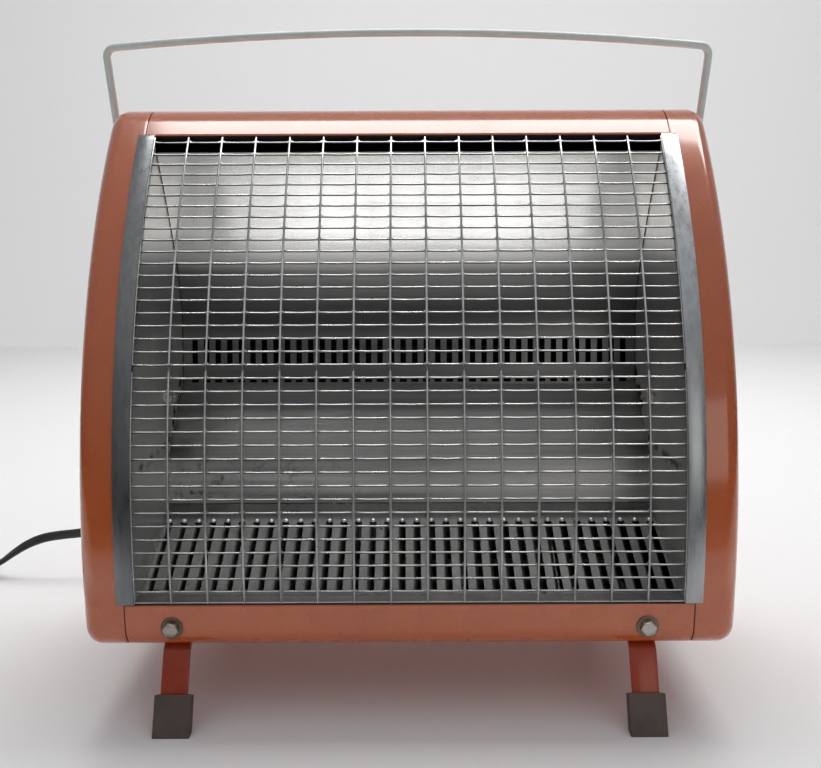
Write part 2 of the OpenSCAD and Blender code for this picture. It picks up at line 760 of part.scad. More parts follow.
// Overheat cut-out, a small disc switch on the shroud
cutout_l = 10;
module overheat_cutout() {
  x = 55 - liner_x;
  z = fan_z + fan_r - 27;
  rear = shroud_depth + cutout_l;
  color(black) {
    bar_y(x, z, shroud_depth + sheet + touch, rear, 8);
    for (s = [-1, 1]) translate([x + s * 4 - 0.4, y_of(rear), z - 3]) cube([0.8, 7, 6]);
  }
}

// Thermostat with its bush through the cover, the nut, the shaft and the knob
knob_z = z_low + knob_rise;
nut_bore = 4.5;
therm_w = 34;
therm_h = 30;
therm_l = 30;
therm_front = case_d - therm_l;
cover_out = case_d + touch + sheet;
module thermostat() {
  color(dark) difference() {
    union() {
      translate([knob_x - therm_w / 2, y_of(therm_front), knob_z - therm_h / 2])
        cube([therm_w, therm_l - touch, therm_h]);
      bar_y(knob_x, knob_z, case_d - touch, cover_out + 3.5, nut_bore);
      for (s = [-1, 1]) translate([knob_x + s * 10 - 3, y_of(therm_front - 7), knob_z - 8])
        cube([6, 7, 0.8]);
    }
    bar_y(knob_x, knob_z, therm_front + 6, cover_out + 5, 3 + shaft_gap);
  }
}
module thermostat_nut() {
  color(bright) difference() {
    bar_y(knob_x, knob_z, cover_out + touch, cover_out + 2.4, 7.5, $fn = 6);
    bar_y(knob_x, knob_z, case_d, cover_out + 5, nut_bore + touch);
  }
}
module control_shaft() {
  color(bright) bar_y(knob_x, knob_z, therm_front + 6 + touch, cover_out + 12, 3);
}
module control_knob() {
  back = cover_out + 4;
  color(black) translate([knob_x, y_of(back), knob_z]) rotate([-90, 0, 0]) difference() {
    union() {
      cylinder(h = 4, d = knob_d);
      translate([0, 0, 4]) cylinder(h = knob_h - 4, d1 = knob_d - 3, d2 = knob_d - 8);
      for (i = [0:11]) rotate([0, 0, i * 30]) translate([knob_d / 2 - 4, 0, 4]) cylinder(h = knob_h - 5, r = 1.8);
    }
    translate([0, 0, -1]) cylinder(h = 9.2, r = 3.02);
    translate([-0.75, knob_d / 2 - 12, knob_h - 0.8]) cube([1.5, 8, 2]);
  }
}

// Handle: a bail of round rod with a bowed grip, hung from pins turned in at its ends
pivot_z = z_top - pivot_drop;
leg_x = half_w + rod_gap + rod_d / 2;
foot_r = 5;
pin_len = 13;
grip_half = leg_x - handle_r;
grip_r = (grip_half * grip_half + grip_bow * grip_bow) / (2 * grip_bow);
grip_c = handle_reach - grip_r;
corner_z = grip_c + sqrt(pow(grip_r - handle_r, 2) - pow(grip_half, 2));
grip_angle = asin(grip_half / (grip_r - handle_r));
rod_r = rod_d / 2;
module at_pivot() {
  translate([0, y_of(pivot_depth), pivot_z]) children();
}
// A bend in the rod, drawn thinner by a hair and run a little way into the straights at its ends
module rod_bend(r, angle) {
  rotate([0, 0, -1.5]) rotate_extrude(angle = angle + 3, $fn = 96)
    translate([r, 0]) circle(r = rod_r - 0.02, $fn = 32);
}
module handle_side() {
  translate([leg_x, 0, foot_r]) cylinder(h = corner_z - foot_r, r = rod_r, $fn = 32);
  translate([grip_half, 0, corner_z]) rotate([90, 0, 0]) rod_bend(handle_r, 90 - grip_angle);
  translate([leg_x - foot_r, 0, foot_r]) rotate([90, 0, 0]) rotate([0, 0, -90]) rod_bend(foot_r, 90);
  translate([leg_x - foot_r - pin_len, 0, 0]) rotate([0, 90, 0]) cylinder(h = pin_len, r = rod_r, $fn = 32);
}
module handle() {
  color([0.66, 0.68, 0.62]) at_pivot() rotate([handle_lean, 0, 0]) {
    handle_side();
    mirror([1, 0, 0]) handle_side();
    translate([0, 0, grip_c]) rotate([90, 0, 0]) rotate([0, 0, 90 - grip_angle])
      rotate_extrude(angle = 2 * grip_angle, $fn = 720) translate([grip_r, 0]) circle(r = rod_r, $fn = 32);
  }
}

// Bushes that line the pivot holes, and clips that keep the pins in
module bush_side() {
  difference() {
    union() {
      bar_x(half_w - sheet - 2, half_w + touch, pivot_depth, pivot_z, bush_r - 0.05);
      bar_x(half_w + touch, half_w + 1.1, pivot_depth, pivot_z, bush_r + 2);
    }
    bar_x(half_w - 8, half_w + 4, pivot_depth, pivot_z, rod_r + pivot_gap);
  }
}
module handle_bushes() {
  color([0.85, 0.83, 0.76]) {
    bush_side();
    mirror([1, 0, 0]) bush_side();
  }
}
module clip_side() {
  difference() {
    bar_x(half_w - sheet - 4, half_w - sheet - 3, pivot_depth, pivot_z, rod_r + 3);
    bar_x(half_w - 8, half_w, pivot_depth, pivot_z, rod_r + 0.02);
  }
}
module handle_clips() {
  color(bright) {
    clip_side();
    mirror([1, 0, 0]) clip_side();
  }
}

// Leg straps: one strap under each side, bent down to a front foot and a rear foot
strap_z = z_low - touch - strap_t / 2;
foot_lift = 2.5;
leg_dir = [sin(leg_lean), cos(leg_lean)];
foot_end = [-foot_out, 0] + leg_dir * foot_lift / cos(leg_lean);
strap_knee = [-foot_out + strap_z * tan(leg_lean), strap_z];
leg_screw_depths = [50, case_d - 50];
function flip(p) = [case_d - p.x, p.y];
strap_path = bent([foot_end, strap_knee, flip(strap_knee), flip(foot_end)], [10, 10], 6);
module leg_strap(x) {
  color(enamel) difference() {
    across(x - strap_w / 2, x + strap_w / 2) polygon(ribbon(strap_path, strap_t));
    for (d = leg_screw_depths)
      translate([x, y_of(d), strap_z - 3]) cylinder(h = 6, r = screw_r + hole_gap);
  }
}
module left_leg_strap() { leg_strap(-strap_x); }
module right_leg_strap() { leg_strap(strap_x); }
module leg_screws() {
  color(bright) for (s = [-1, 1], d = leg_screw_depths) translate([s * strap_x, y_of(d), 0]) {
    translate([0, 0, z_low - 5]) cylinder(h = 10, r = screw_r);
    translate([0, 0, strap_z - strap_t / 2 - touch - 2]) cylinder(h = 2, r = 3.6);
    translate([0, 0, strap_z - strap_t / 2 - touch]) cylinder(h = 3, r = screw_r);
  }
}

// Foot tips: soft boots over the ends of the straps, cut flat where they stand
tip_side = tip_t / 2 / cos(leg_lean);
tip_top = [-foot_out, 0] + leg_dir * tip_len;
tip_across = [cos(leg_lean), -sin(leg_lean)] * tip_t / 2;
module tip_pair() {
  difference() {
    for (s = [-1, 1]) across(s * strap_x - tip_w / 2, s * strap_x + tip_w / 2) polygon([
      [-foot_out - tip_side, 0], [-foot_out + tip_side, 0], tip_top + tip_across, tip_top - tip_across]);
    for (s = [-1, 1]) across(s * strap_x - strap_w / 2 - touch, s * strap_x + strap_w / 2 + touch)
      polygon(ribbon([foot_end - leg_dir * touch, tip_top + leg_dir * 5], strap_t + 2 * touch));
  }
}
module foot_tips() {
  color(dark) {
    tip_pair();
    mirror([0, 1, 0]) tip_pair();
  }
}

// Strain relief where the cord leaves the cover
relief_x = -150;
relief_z = z_low + 50;
relief_l = 28;
relief_r1 = 8;
relief_r2 = 6.2;
module strain_relief() {
  color(black) {
    translate([relief_x, y_of(cover_out + touch), relief_z]) rotate([-90, 0, 0])
      cylinder(h = relief_l, r1 = relief_r1, r2 = relief_r2);
    bar_y(relief_x, relief_z, case_d - 6, cover_out + touch, relief_r1 - 1.8);
    bar_y(relief_x, relief_z, case_d - 6, case_d - 1.5, relief_r1);
  }
}

// Leads inside the cabinet, from the strain relief to the thermostat and to the heating rod
lead_d = 2.6;
lead_low = 20;
module supply_leads() {
  start = y_of(case_d - 6 - touch);
  mid = y_of(case_d - 20);
  high = knob_z + 41;
  x = knob_x - 10;
  color(black) {
    wire([[relief_x + 3, start, relief_z + 2], [relief_x + 3, mid, relief_z + 2],
      [relief_x + 10, mid, high], [x, mid, high],
      [x, y_of(therm_front - 10), knob_z + 22], [x, y_of(therm_front - 3.5), knob_z - 5.6]], lead_d);
    wire([[relief_x - 3, start, relief_z - 2], [relief_x - 3, mid, relief_z - 2],
      [relief_x - 3, mid, z_low + lead_low],
      [relief_x - 3, y_of(shroud_depth + sheet + 0.3), z_low + lead_low]], lead_d);
  }
}

// Cord: the free stretch follows these points, given as x, depth and height
lead_route = [[-150, 254, 106], [-150, 264, 105], [-152, 276, 102], [-160, 288, 97], [-175, 296, 90],
  [-196, 299, 82], [-220, 297, 74], [-246, 291, 66], [-272, 284, 58], [-298, 277, 52], [-326, 273, 47],
  [-346, 272, 45], [-364, 272, 42], [-380, 272, 36], [-395, 273, 27], [-409, 275, 17], [-424, 278, 8],
  [-440, 281, 3.4], [-458, 282, 2.8], [-471, 282, 2.8]];
// Share of the route over which the flat cord turns from standing on edge to lying flat
lay_start = 11;
lay_end = 16;
function lay(i) = 90 * (1 - min(1, max(0, (i - lay_start) / (lay_end - lay_start))));
function oval(n, turned) = [for (k = [0:n - 1]) let (a = 360 * (k + 0.5) / n,
  p = [cord_w / 2 * cos(a), cord_t / 2 * sin(a)]) spin(p, turned)];
function cross3(a, b) = [a.y * b.z - a.z * b.y, a.z * b.x - a.x * b.z, a.x * b.y - a.y * b.x];
// Ring of a flat cord at point i of a path, turned about its own length
function cord_ring(path, i, n, turned) =
  let (last = len(path) - 1, t = unit(path[min(i + 1, last)] - path[max(i - 1, 0)]),
    side = unit(cross3(t, [0, 0, 1])), rise = cross3(side, t))
  [for (p = oval(n, turned)) path[i] + side * p.x + rise * p.y];
module cord_tube(path, rings, n) {
  last = len(rings) - 1;
  polyhedron(
    points = [for (r = rings) each r],
    faces = concat(
      [for (k = [1:n - 2]) [0, k + 1, k]],
      [for (k = [1:n - 2]) [last * n, last * n + k, last * n + k + 1]],
      [for (i = [0:last - 1], k = [0:n - 1]) let (m = (k + 1) % n)
        [i * n + k, i * n + m, (i + 1) * n + k]],
      [for (i = [0:last - 1], k = [0:n - 1]) let (m = (k + 1) % n)
        [i * n + m, (i + 1) * n + m, (i + 1) * n + k]]),
    convexity = 8);
}
module cord_lead() {
  path = [for (p = lead_route) [p.x, y_of(p.y), p.z]];
  color(black) cord_tube(path, [for (i = [0:len(path) - 1]) cord_ring(path, i, 8, lay(i))], 8);
}

// Coil: two turns spiral in on the floor, the cord climbs a layer, and two turns spiral out on top
coil_c = [-480, 222.5];
coil_out = 59.5;
coil_step = 9.5;
coil_turns = 4.5;
loop_rings = 24;
layer = cord_t + 0.6;
floor_z = cord_t / 2 + 0.2;
coil_lead = cord_w;
function coil_at(t) =
  let (mid = coil_turns / 2, r = coil_out - coil_step * (mid - abs(t - mid)),
    climb = min(1, max(0, (t - mid + 0.25) / 0.5)), a = 90 + 360 * t)
  [coil_c.x + r * cos(a), y_of(coil_c.y) + r * sin(a), floor_z + layer * climb];
plug_lead = 40;
coil_path = concat(
  [coil_at(0) + [coil_lead, 0, 0]],
  [for (i = [0:coil_turns * loop_rings]) coil_at(i / loop_rings)],
  [coil_at(coil_turns) + [plug_lead / 2, 0, 0], coil_at(coil_turns) + [plug_lead, 0, 0]]);
coil_rings = [for (i = [0:len(coil_path) - 1]) cord_ring(coil_path, i, 6, 0)];
function near_gap(i, j) = norm(coil_path[i] - coil_path[j]) > 2 * cord_w ? 99
  : min([for (p = coil_rings[i], q = coil_rings[j]) norm(p - q)]);
module cord_coil() {
  last = len(coil_path) - 1;
  echo(least_coil_gap = min([for (i = [0:last], j = [i + 12:1:last]) near_gap(i, j)]));
  color(black) cord_tube(coil_path, coil_rings, 6);
}

// Tie round the bundle at the coil's left side
module cord_tie() {
  inner = coil_out - 2.25 * coil_step - cord_w / 2 - 1.2;
  outer = coil_out + cord_w / 2 + 1.2;
  top = floor_z + layer + cord_t / 2 + 1;
  color(dark) translate([coil_c.x, y_of(coil_c.y), 0]) rotate([90, 0, 180]) translate([0, 0, -4])
    linear_extrude(height = 8) difference() {
      translate([inner, 0]) square([outer - inner, top]);
      translate([inner + 0.8, 0.15]) square([outer - inner - 1.6, top - 0.95]);
    }
}

// Plug on the end of the cord, beside the coil
plug_start = coil_at(coil_turns) + [plug_lead + 0.1, 0, 0];
plug_l = 30;
plug_w = 26;
plug_h = 16;
module plug_body() {
  color(black) translate([plug_start.x, plug_start.y, plug_h / 2 + 0.1]) {
    translate([0, 0, -plug_h / 2]) linear_extrude(height = plug_h) polygon([
      [0, -6], [8, -7], [14, -plug_w / 2], [plug_l, -plug_w / 2],
      [plug_l, plug_w / 2], [14, plug_w / 2], [8, 7], [0, 6]]);
  }
}
module plug_blades() {
  color([0.78, 0.66, 0.38]) for (s = [-1, 1])
    translate([plug_start.x + plug_l + 0.05, plug_start.y + s * 6.35 - 0.75, plug_h / 2 + 0.1 - 3.15])
      cube([17, 1.5, 6.3]);
}

wrap_panel();
bottom_pan();
left_end_cap();
right_end_cap();
back_panel();
back_screws();
grille_cross_wires();
grille_uprights();
left_trim_strip();
right_trim_strip();
reflector();
left_liner();
right_liner();
outlet_hood();
floor_louvre();
side_bushings();
rail_screws();
rail_washers();
rail_nuts();
heating_rod();
heater_stands();
fan_shroud();
motor_bracket();
motor_stack();
motor_coil();
motor_bearings();
motor_bolts();
motor_shaft();
fan_blade();
overheat_cutout();
thermostat();
thermostat_nut();
control_shaft();
control_knob();
handle();
handle_bushes();
handle_clips();
left_leg_strap();
right_leg_strap();
leg_screws();
foot_tips();
strain_relief();
supply_leads();
cord_lead();
cord_coil();
cord_tie();
plug_body();
plug_blades();
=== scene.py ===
import bpy
import bmesh
import random
from math import asin, atan2, copysign, cos, degrees, dist, exp, pi, radians, sin, sqrt, tan
from mathutils import Matrix, Vector


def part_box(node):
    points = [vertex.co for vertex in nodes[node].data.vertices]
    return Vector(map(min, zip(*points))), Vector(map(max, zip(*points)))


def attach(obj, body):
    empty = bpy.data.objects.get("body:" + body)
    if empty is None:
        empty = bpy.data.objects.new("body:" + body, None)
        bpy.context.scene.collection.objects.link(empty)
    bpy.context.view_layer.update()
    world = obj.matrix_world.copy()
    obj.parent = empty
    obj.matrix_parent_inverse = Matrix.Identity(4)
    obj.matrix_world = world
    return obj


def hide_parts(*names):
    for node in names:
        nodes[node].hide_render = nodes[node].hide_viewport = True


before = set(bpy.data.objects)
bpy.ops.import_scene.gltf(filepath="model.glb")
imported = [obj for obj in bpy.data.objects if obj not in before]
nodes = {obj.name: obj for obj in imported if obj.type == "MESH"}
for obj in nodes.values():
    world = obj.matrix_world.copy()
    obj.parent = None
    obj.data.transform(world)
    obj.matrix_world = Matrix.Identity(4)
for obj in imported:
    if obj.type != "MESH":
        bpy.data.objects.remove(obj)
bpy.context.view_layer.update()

scene = bpy.context.scene
mm = 0.001
print("frame loaded,", len(nodes), "nodes")

# Camera: solved from the grille's wire spacing and the side outline of the case
view = {"lens": 39.46, "aside": 0.0012, "height": 0.3474, "back": 0.6979, "pitch": 10.0, "roll": -0.22}
cameraData = bpy.data.cameras.new("camera")
cameraData.lens = view["lens"]
cameraData.sensor_width = 36
camera = bpy.data.objects.new("camera", cameraData)
camera.location = (view["aside"], -view["back"], view["height"])
camera.rotation_euler = (Matrix.Rotation(radians(90 - view["pitch"]), 3, "X")
                         @ Matrix.Rotation(radians(view["roll"]), 3, "Z")).to_euler()
scene.collection.objects.link(camera)
scene.camera = camera


# Shader helpers. They work on the node tree that was opened last, and what they put into a socket may be
# a number, a colour or the output of another node.
def openTree(owner):
    global tree
    owner.use_nodes = True
    tree = owner.node_tree
    return owner


def newMaterial(name):
    return openTree(bpy.data.materials.new(name))


def feed(socket, value):
    if isinstance(value, bpy.types.NodeSocket):
        tree.links.new(value, socket)
    elif socket.type == "RGBA":
        socket.default_value = (*value, 1)
    else:
        socket.default_value = value


def addNode(kind, inputs=None, **settings):
    node = tree.nodes.new("ShaderNode" + kind)
    for name, value in settings.items():
        setattr(node, name, value)
    for key, value in (inputs or {}).items():
        feed(node.inputs[key], value)
    return node


def setSurface(color, rough, metallic=0.0, grain=None, strength=0.05, more=None):
    shader = tree.nodes["Principled BSDF"]
    sockets = {"Base Color": color, "Roughness": rough, "Metallic": metallic, **(more or {})}
    for name, value in sockets.items():
        feed(shader.inputs[name], value)
    if grain:
        bump = addNode("Bump", {"Strength": strength, "Distance": 0.0002, "Height": grain})
        feed(shader.inputs["Normal"], bump.outputs["Normal"])


def coordinate(kind="Object"):
    return addNode("TexCoord").outputs[kind]


def axisValue(axis, kind="Object"):
    return addNode("SeparateXYZ", {0: coordinate(kind)}).outputs[axis]


def noise(scale, detail=4, rough=0.55, stretch=(1, 1, 1)):
    place = addNode("Mapping", {"Scale": stretch, "Vector": coordinate()}).outputs["Vector"]
    inputs = {"Scale": scale, "Detail": detail, "Roughness": rough, "Vector": place}
    return addNode("TexNoise", inputs).outputs["Fac"]


def ramp(source, stops):
    node = addNode("ValToRGB", {"Fac": source})
    elements = node.color_ramp.elements
    while len(elements) < len(stops):
        elements.new(0.5)
    for element, (position, value) in zip(elements, stops):
        element.position = position
        element.color = (*value, 1) if isinstance(value, tuple) else (value, value, value, 1)
    return node.outputs["Color"]


def mapRange(source, low, high, toLow=0.0, toHigh=1.0, kind="SMOOTHSTEP"):
    inputs = {"Value": source, "From Min": low, "From Max": high, "To Min": toLow, "To Max": toHigh}
    return addNode("MapRange", inputs, interpolation_type=kind).outputs["Result"]


def calc(kind, first, second=0.0, clamp=True):
    return addNode("Math", {0: first, 1: second}, operation=kind, use_clamp=clamp).outputs[0]


def product(value, *others):
    for other in others:
        value = calc("MULTIPLY", value, other)
    return value


# Rises from the first to the second value, falls from the third to the fourth
def window(source, first, second, third, fourth):
    return product(mapRange(source, first, second), mapRange(source, third, fourth, 1.0, 0.0))


def mixColor(factor, first, second, kind="MIX"):
    return addNode("Mix", {0: factor, 6: first, 7: second}, data_type="RGBA", blend_type=kind).outputs[2]


def times(color, *others, share=1.0):
    for other in others:
        color = mixColor(share, color, other, "MULTIPLY")
    return color


# Tones given at heights or places along one axis
def bands(axis, stops):
    low, high = stops[0][0], stops[-1][0]
    spread = mapRange(axisValue(axis), low, high, kind="LINEAR")
    return ramp(spread, [((place - low) / (high - low), tone) for place, tone in stops])


# Baked enamel: even coral coat, faint mottling and small chips. Faces that look into the case are near black.
enamelLook = {"coat": (0.54, 0.11, 0.02), "shade": (0.465, 0.089, 0.015), "chip": (0.09, 0.05, 0.04),
              "strapCoat": (0.36, 0.044, 0.012), "strapShade": (0.29, 0.033, 0.009), "coatWeight": 1.0,
              "strapWeight": 0.25, "insideTone": (0.012, 0.01, 0.009), "middle": (0, 0, 0.25),
              "roughness": 0.26, "chipSize": 420.0, "chipShare": 0.715}


# One where the surface looks away from the middle of the case, zero where it looks towards it
def outwardMask():
    away = addNode("VectorMath", {0: coordinate(), 1: enamelLook["middle"]}, operation="SUBTRACT")
    facing = addNode("VectorMath", {0: coordinate("Normal"), 1: away.outputs["Vector"]},
                     operation="DOT_PRODUCT")
    return mapRange(facing.outputs["Value"], -0.01, 0.01)


def enamel(name, coat, shade, darkInside):
    material = newMaterial(name)
    look = enamelLook
    tone = ramp(noise(9, 3), [(0.3, look[shade]), (0.7, look[coat])])
    tone = times(tone, ramp(noise(60, 4), [(0.35, 0.9), (0.65, 1.0)]), share=0.5)
    chips = ramp(noise(look["chipSize"], 2, 0.4),
                 [(look["chipShare"], 0.0), (look["chipShare"] + 0.02, 1.0)])
    patches = ramp(noise(14, 3), [(0.56, 0.0), (0.66, 1.0)])
    tone = mixColor(product(chips, patches), tone, look["chip"])
    gloss = ramp(noise(35, 3), [(0.3, look["roughness"] - 0.04), (0.7, look["roughness"] + 0.08)])
    weight = look["strapWeight"]
    if darkInside:
        # Faces that look towards the middle of the case turn near black and rough, without the coat
        outward = outwardMask()
        tone = mixColor(outward, look["insideTone"], tone)
        gloss = mixColor(outward, (0.7, 0.7, 0.7), gloss)
        weight = mapRange(outward, 0, 1, 0, look["coatWeight"])
    more = {"Coat Weight": weight, "Coat Roughness": 0.11, "Coat IOR": 1.6, "Specular IOR Level": 0.3}
    setSurface(tone, gloss, grain=noise(160, 2), more=more)
    return material


# Bare and plated metals share one recipe: tone variation, streaks along one axis, dark spots, and painted
# shade that deepens along one axis
def metal(name, tone, dark, roughness, spread=0.12, streak=(1, 1, 1), streakScale=220, spots=0.0,
          spotTone=(0.05, 0.04, 0.03), spotScale=90, grain=0.08, metallic=1.0, shade=None):
    material = newMaterial(name)
    lines = noise(streakScale, 5, 0.6, streak)
    color = ramp(noise(14, 4), [(0.32, dark), (0.66, tone)])
    color = times(color, ramp(lines, [(0.35, 0.55), (0.65, 1.0)]), share=0.35)
    if spots:
        dots = ramp(noise(spotScale, 3, 0.6), [(0.7 - spots, 0.0), (0.76 - spots, 1.0)])
        color = mixColor(dots, color, spotTone)
    # Painted shade: the colour darkens from start to end along the axis
    if shade:
        axis, start, end, share = shade
        color = times(color, mapRange(axisValue(axis), start, end, 1.0, share))
    rough = ramp(lines, [(0.3, roughness), (0.7, roughness + spread)])
    setSurface(color, rough, metallic, lines, grain)
    return material


# Reflector: bright above its knee. Below it the tone is painted shade, where the sheet mirrors the dim room,
# and it is painted darker again where it goes up behind the lip.
reflectorLook = {"tones": [(0.21, 0.2), (0.256, 0.2), (0.262, 0.14), (0.27, 0.14), (0.28, 0.16),
                           (0.29, 0.14), (0.298, 0.11), (0.31, 0.13), (0.3178, 0.32), (0.3253, 0.55),
                           (0.332, 0.72), (0.338, 0.88), (0.344, 0.95), (0.399, 0.95), (0.402, 0.4)],
                 "roughs": [(0.21, 0.34), (0.325, 0.28), (0.344, 0.17), (0.37, 0.15), (0.402, 0.2)],
                 "tint": (1.0, 0.985, 0.96)}


def reflectorMetal():
    material = newMaterial("polished_reflector")
    streaks = noise(90, 5, 0.6, (0.04, 1, 1))
    color = times(bands(2, reflectorLook["tones"]),
                  ramp(streaks, [(0.35, 0.82), (0.6, 1.0)]),
                  ramp(noise(7, 3), [(0.3, 0.85), (0.6, 1.0)]), reflectorLook["tint"])
    setSurface(color, bands(2, reflectorLook["roughs"]), 1.0, streaks)
    return material


# Side liners: dull sheet with a smear of char above the hood, a band of painted shade at mid height and a
# painted highlight towards the top
linerLook = {"tone": (0.6, 0.6, 0.57), "dark": (0.46, 0.46, 0.44), "bright": (0.74, 0.73, 0.7),
             "brightFrom": (0.316, 0.342), "shade": (0.36, 0.36, 0.35), "metallic": 0.6,
             "shadeBand": (0.262, 0.272, 0.318, 0.335), "char": (0.016, 0.014, 0.012),
             "corner": (-0.0095, 0.167, 0.891), "charAbove": (0.001, 0.004, 0.011, 0.017),
             "charHeight": (0.172, 0.182, 0.226, 0.236)}


def linerMetal():
    material = newMaterial("side_liner")
    look = linerLook
    up = axisValue(2)
    streaks = noise(120, 5, 0.6, (1, 1, 0.2))
    color = ramp(noise(12, 4), [(0.35, look["dark"]), (0.65, look["tone"])])
    # Painted shade in a band at mid height, then a painted highlight from the reflector's knee up
    color = mixColor(window(up, *look["shadeBand"]), color, look["shade"])
    color = mixColor(mapRange(up, *look["brightFrom"]), color, look["bright"])
    color = times(color, ramp(streaks, [(0.35, 0.8), (0.65, 1.0)]), share=0.5)
    # Height above the hood, which meets the liner along a sloping corner
    cornerY, cornerZ, rise = look["corner"]
    hoodUp = calc("MULTIPLY", calc("SUBTRACT", axisValue(1), cornerY), rise)
    above = calc("SUBTRACT", up, calc("ADD", hoodUp, cornerZ))
    char = product(window(above, *look["charAbove"]), window(up, *look["charHeight"]),
                   ramp(noise(75, 3, 0.5), [(0.47, 0.0), (0.55, 1.0)]))
    rough = calc("ADD", ramp(streaks, [(0.3, 0.3), (0.7, 0.38)]), product(char, 0.4))
    setSurface(mixColor(char, color, look["char"]), rough, look["metallic"], streaks, 0.03)
    return material


# Tinned wire, with a painted highlight where it looks up and painted shade along its underside. The uprights
# get more painted shade near the top, in front of the bright reflector.
wireLook = {"facing": (-0.2, 0.32, 0.1, 0.74), "tint": (1.0, 1.0, 0.985), "roughness": 0.24,
            "paintedUprightShade": [(0.09, 1.0), (0.322, 1.0), (0.34, 0.42), (0.396, 0.36), (0.402, 0.85), (0.42, 0.85)]}


def wireMetal(name, paintedUprightShade=False):
    material = newMaterial(name)
    # Painted highlight and shade by how the surface faces: light on top, dark underneath
    facing = mapRange(axisValue(2, "Normal"), *wireLook["facing"])
    cloud = noise(60, 4)
    color = times(facing, wireLook["tint"])
    if paintedUprightShade:
        color = times(color, bands(2, wireLook["paintedUprightShade"]))
    color = times(color, ramp(cloud, [(0.32, 0.72), (0.6, 1.0)]))
    rough = ramp(cloud, [(0.3, wireLook["roughness"] + 0.14), (0.7, wireLook["roughness"])])
    setSurface(color, rough, 1.0, noise(900, 2))
    return material


# Strips: polished, with a patina. Their tone by height is painted reflection and shade, and the darker left
# strip is painted shade.
stripLook = {"tones": [(0.09, 0.4), (0.2, 0.46), (0.34, 0.52), (0.39, 0.48), (0.416, 0.44)],
             "left": 0.52, "tint": (0.96, 0.985, 1.0), "roughness": 0.24}


def stripMetal():
    material = newMaterial("polished_strip")
    lines = noise(260, 5, 0.6, (1, 1, 0.05))
    # Tone by height and the darker left strip are painted reflection and shade
    color = times(bands(2, stripLook["tones"]),
                  ramp(noise(24, 4), [(0.32, 0.85), (0.66, 1.0)]),
                  ramp(lines, [(0.35, 0.85), (0.65, 1.0)]), stripLook["tint"],
                  mapRange(axisValue(0), -0.1, 0.1, stripLook["left"], 1.0))
    rough = ramp(lines, [(0.3, stripLook["roughness"]), (0.7, stripLook["roughness"] + 0.1)])
    setSurface(color, rough, 1.0, lines)
    return material


# Hood sheet: tones by height are painted shade and highlight, lighter on its upright front and darkest on the
# slope above the knee. Brown stains gather at the left of its upright front.
hoodLook = {"tones": [(0.13, 0.48), (0.15, 0.72), (0.1645, 0.5), (0.1665, 0.22), (0.169, 0.1),
                      (0.178, 0.11), (0.19, 0.14), (0.2, 0.21), (0.217, 0.27)],
            "tint": (1.0, 0.99, 0.95), "roughness": 0.26, "stain": (0.05, 0.038, 0.026),
            "stainSpan": (-0.16, 0.0), "stainBand": (0.132, 0.138, 0.166, 0.172)}


def hoodMetal():
    material = newMaterial("stained_hood")
    lines = noise(150, 5, 0.6, (0.03, 1, 1))
    color = times(bands(2, hoodLook["tones"]),
                  ramp(noise(10, 4), [(0.3, 0.8), (0.65, 1.0)]),
                  ramp(lines, [(0.35, 0.72), (0.65, 1.0)]), hoodLook["tint"])
    blots = ramp(noise(120, 4, 0.6), [(0.56, 0.0), (0.74, 0.8)])
    haze = ramp(noise(40, 3, 0.5), [(0.45, 0.0), (0.75, 0.5)])
    stain = product(calc("ADD", blots, haze),
                    mapRange(axisValue(0), *hoodLook["stainSpan"], 1.0, 0.1),
                    window(axisValue(2), *hoodLook["stainBand"]))
    rough = ramp(lines, [(0.3, hoodLook["roughness"]), (0.7, hoodLook["roughness"] + 0.15)])
    rough = calc("ADD", rough, product(stain, 0.4))
    setSurface(mixColor(stain, color, hoodLook["stain"]), rough, 0.95, lines, 0.08)
    return material


# Paint, plastic, rubber and porcelain: two close tones, fine grain, dust
def coating(name, tone, other, roughness, scale=40, grain=0.15, grainScale=500, dust=None, coat=0.0):
    material = newMaterial(name)
    color = ramp(noise(scale, 4), [(0.35, other), (0.65, tone)])
    if dust:
        color = mixColor(ramp(noise(30, 5, 0.7), [(0.45, 0.0), (0.75, 0.5)]), color, dust)
    rough = ramp(noise(scale * 2, 3), [(0.3, roughness), (0.7, min(1.0, roughness + 0.12))])
    setSurface(color, rough, 0.0, noise(grainScale, 2), grain,
               {"Coat Weight": coat, "Specular IOR Level": 0.5})
    return material


coralEnamel = enamel("baked_enamel", "coat", "shade", True)
strapEnamel = enamel("strap_enamel", "strapCoat", "strapShade", False)
handlePaint = coating("handle_paint", (0.8, 0.87, 0.84), (0.72, 0.78, 0.76), 0.38, 60, 0.08, 300, coat=0.2)
wireSteel = wireMetal("bright_wire")
uprightSteel = wireMetal("upright_wire", True)
stripSteel = stripMetal()
mirrorSteel = reflectorMetal()
linerSteel = linerMetal()
hoodSteel = hoodMetal()
# The louvre sheet is the flange's metal at a much darker tone, painted shade for the inside of the case, with
# more painted shade towards the hood's foot
louvreSteel = metal("floor_louvre", (0.18, 0.18, 0.175), (0.128, 0.128, 0.124), 0.34, 0.16, (1, 0.1, 1), 200,
                    0.03, grain=0.12, shade=(1, -0.034, -0.028, 0.4))
flangeSteel = metal("louvre_flange", (0.62, 0.62, 0.6), (0.44, 0.44, 0.42), 0.34, 0.16, (1, 0.1, 1), 200,
                    0.03, grain=0.12)
platedSteel = metal("plated_fastener", (0.58, 0.56, 0.51), (0.32, 0.29, 0.24), 0.26, 0.14, (1, 1, 1), 400,
                    0.05, (0.15, 0.08, 0.04), 260)
tarnishedSteel = metal("tarnished_washer", (0.26, 0.2, 0.15), (0.13, 0.095, 0.07), 0.36, 0.16, (1, 1, 1), 300,
                       0.05, (0.07, 0.04, 0.025), 260)
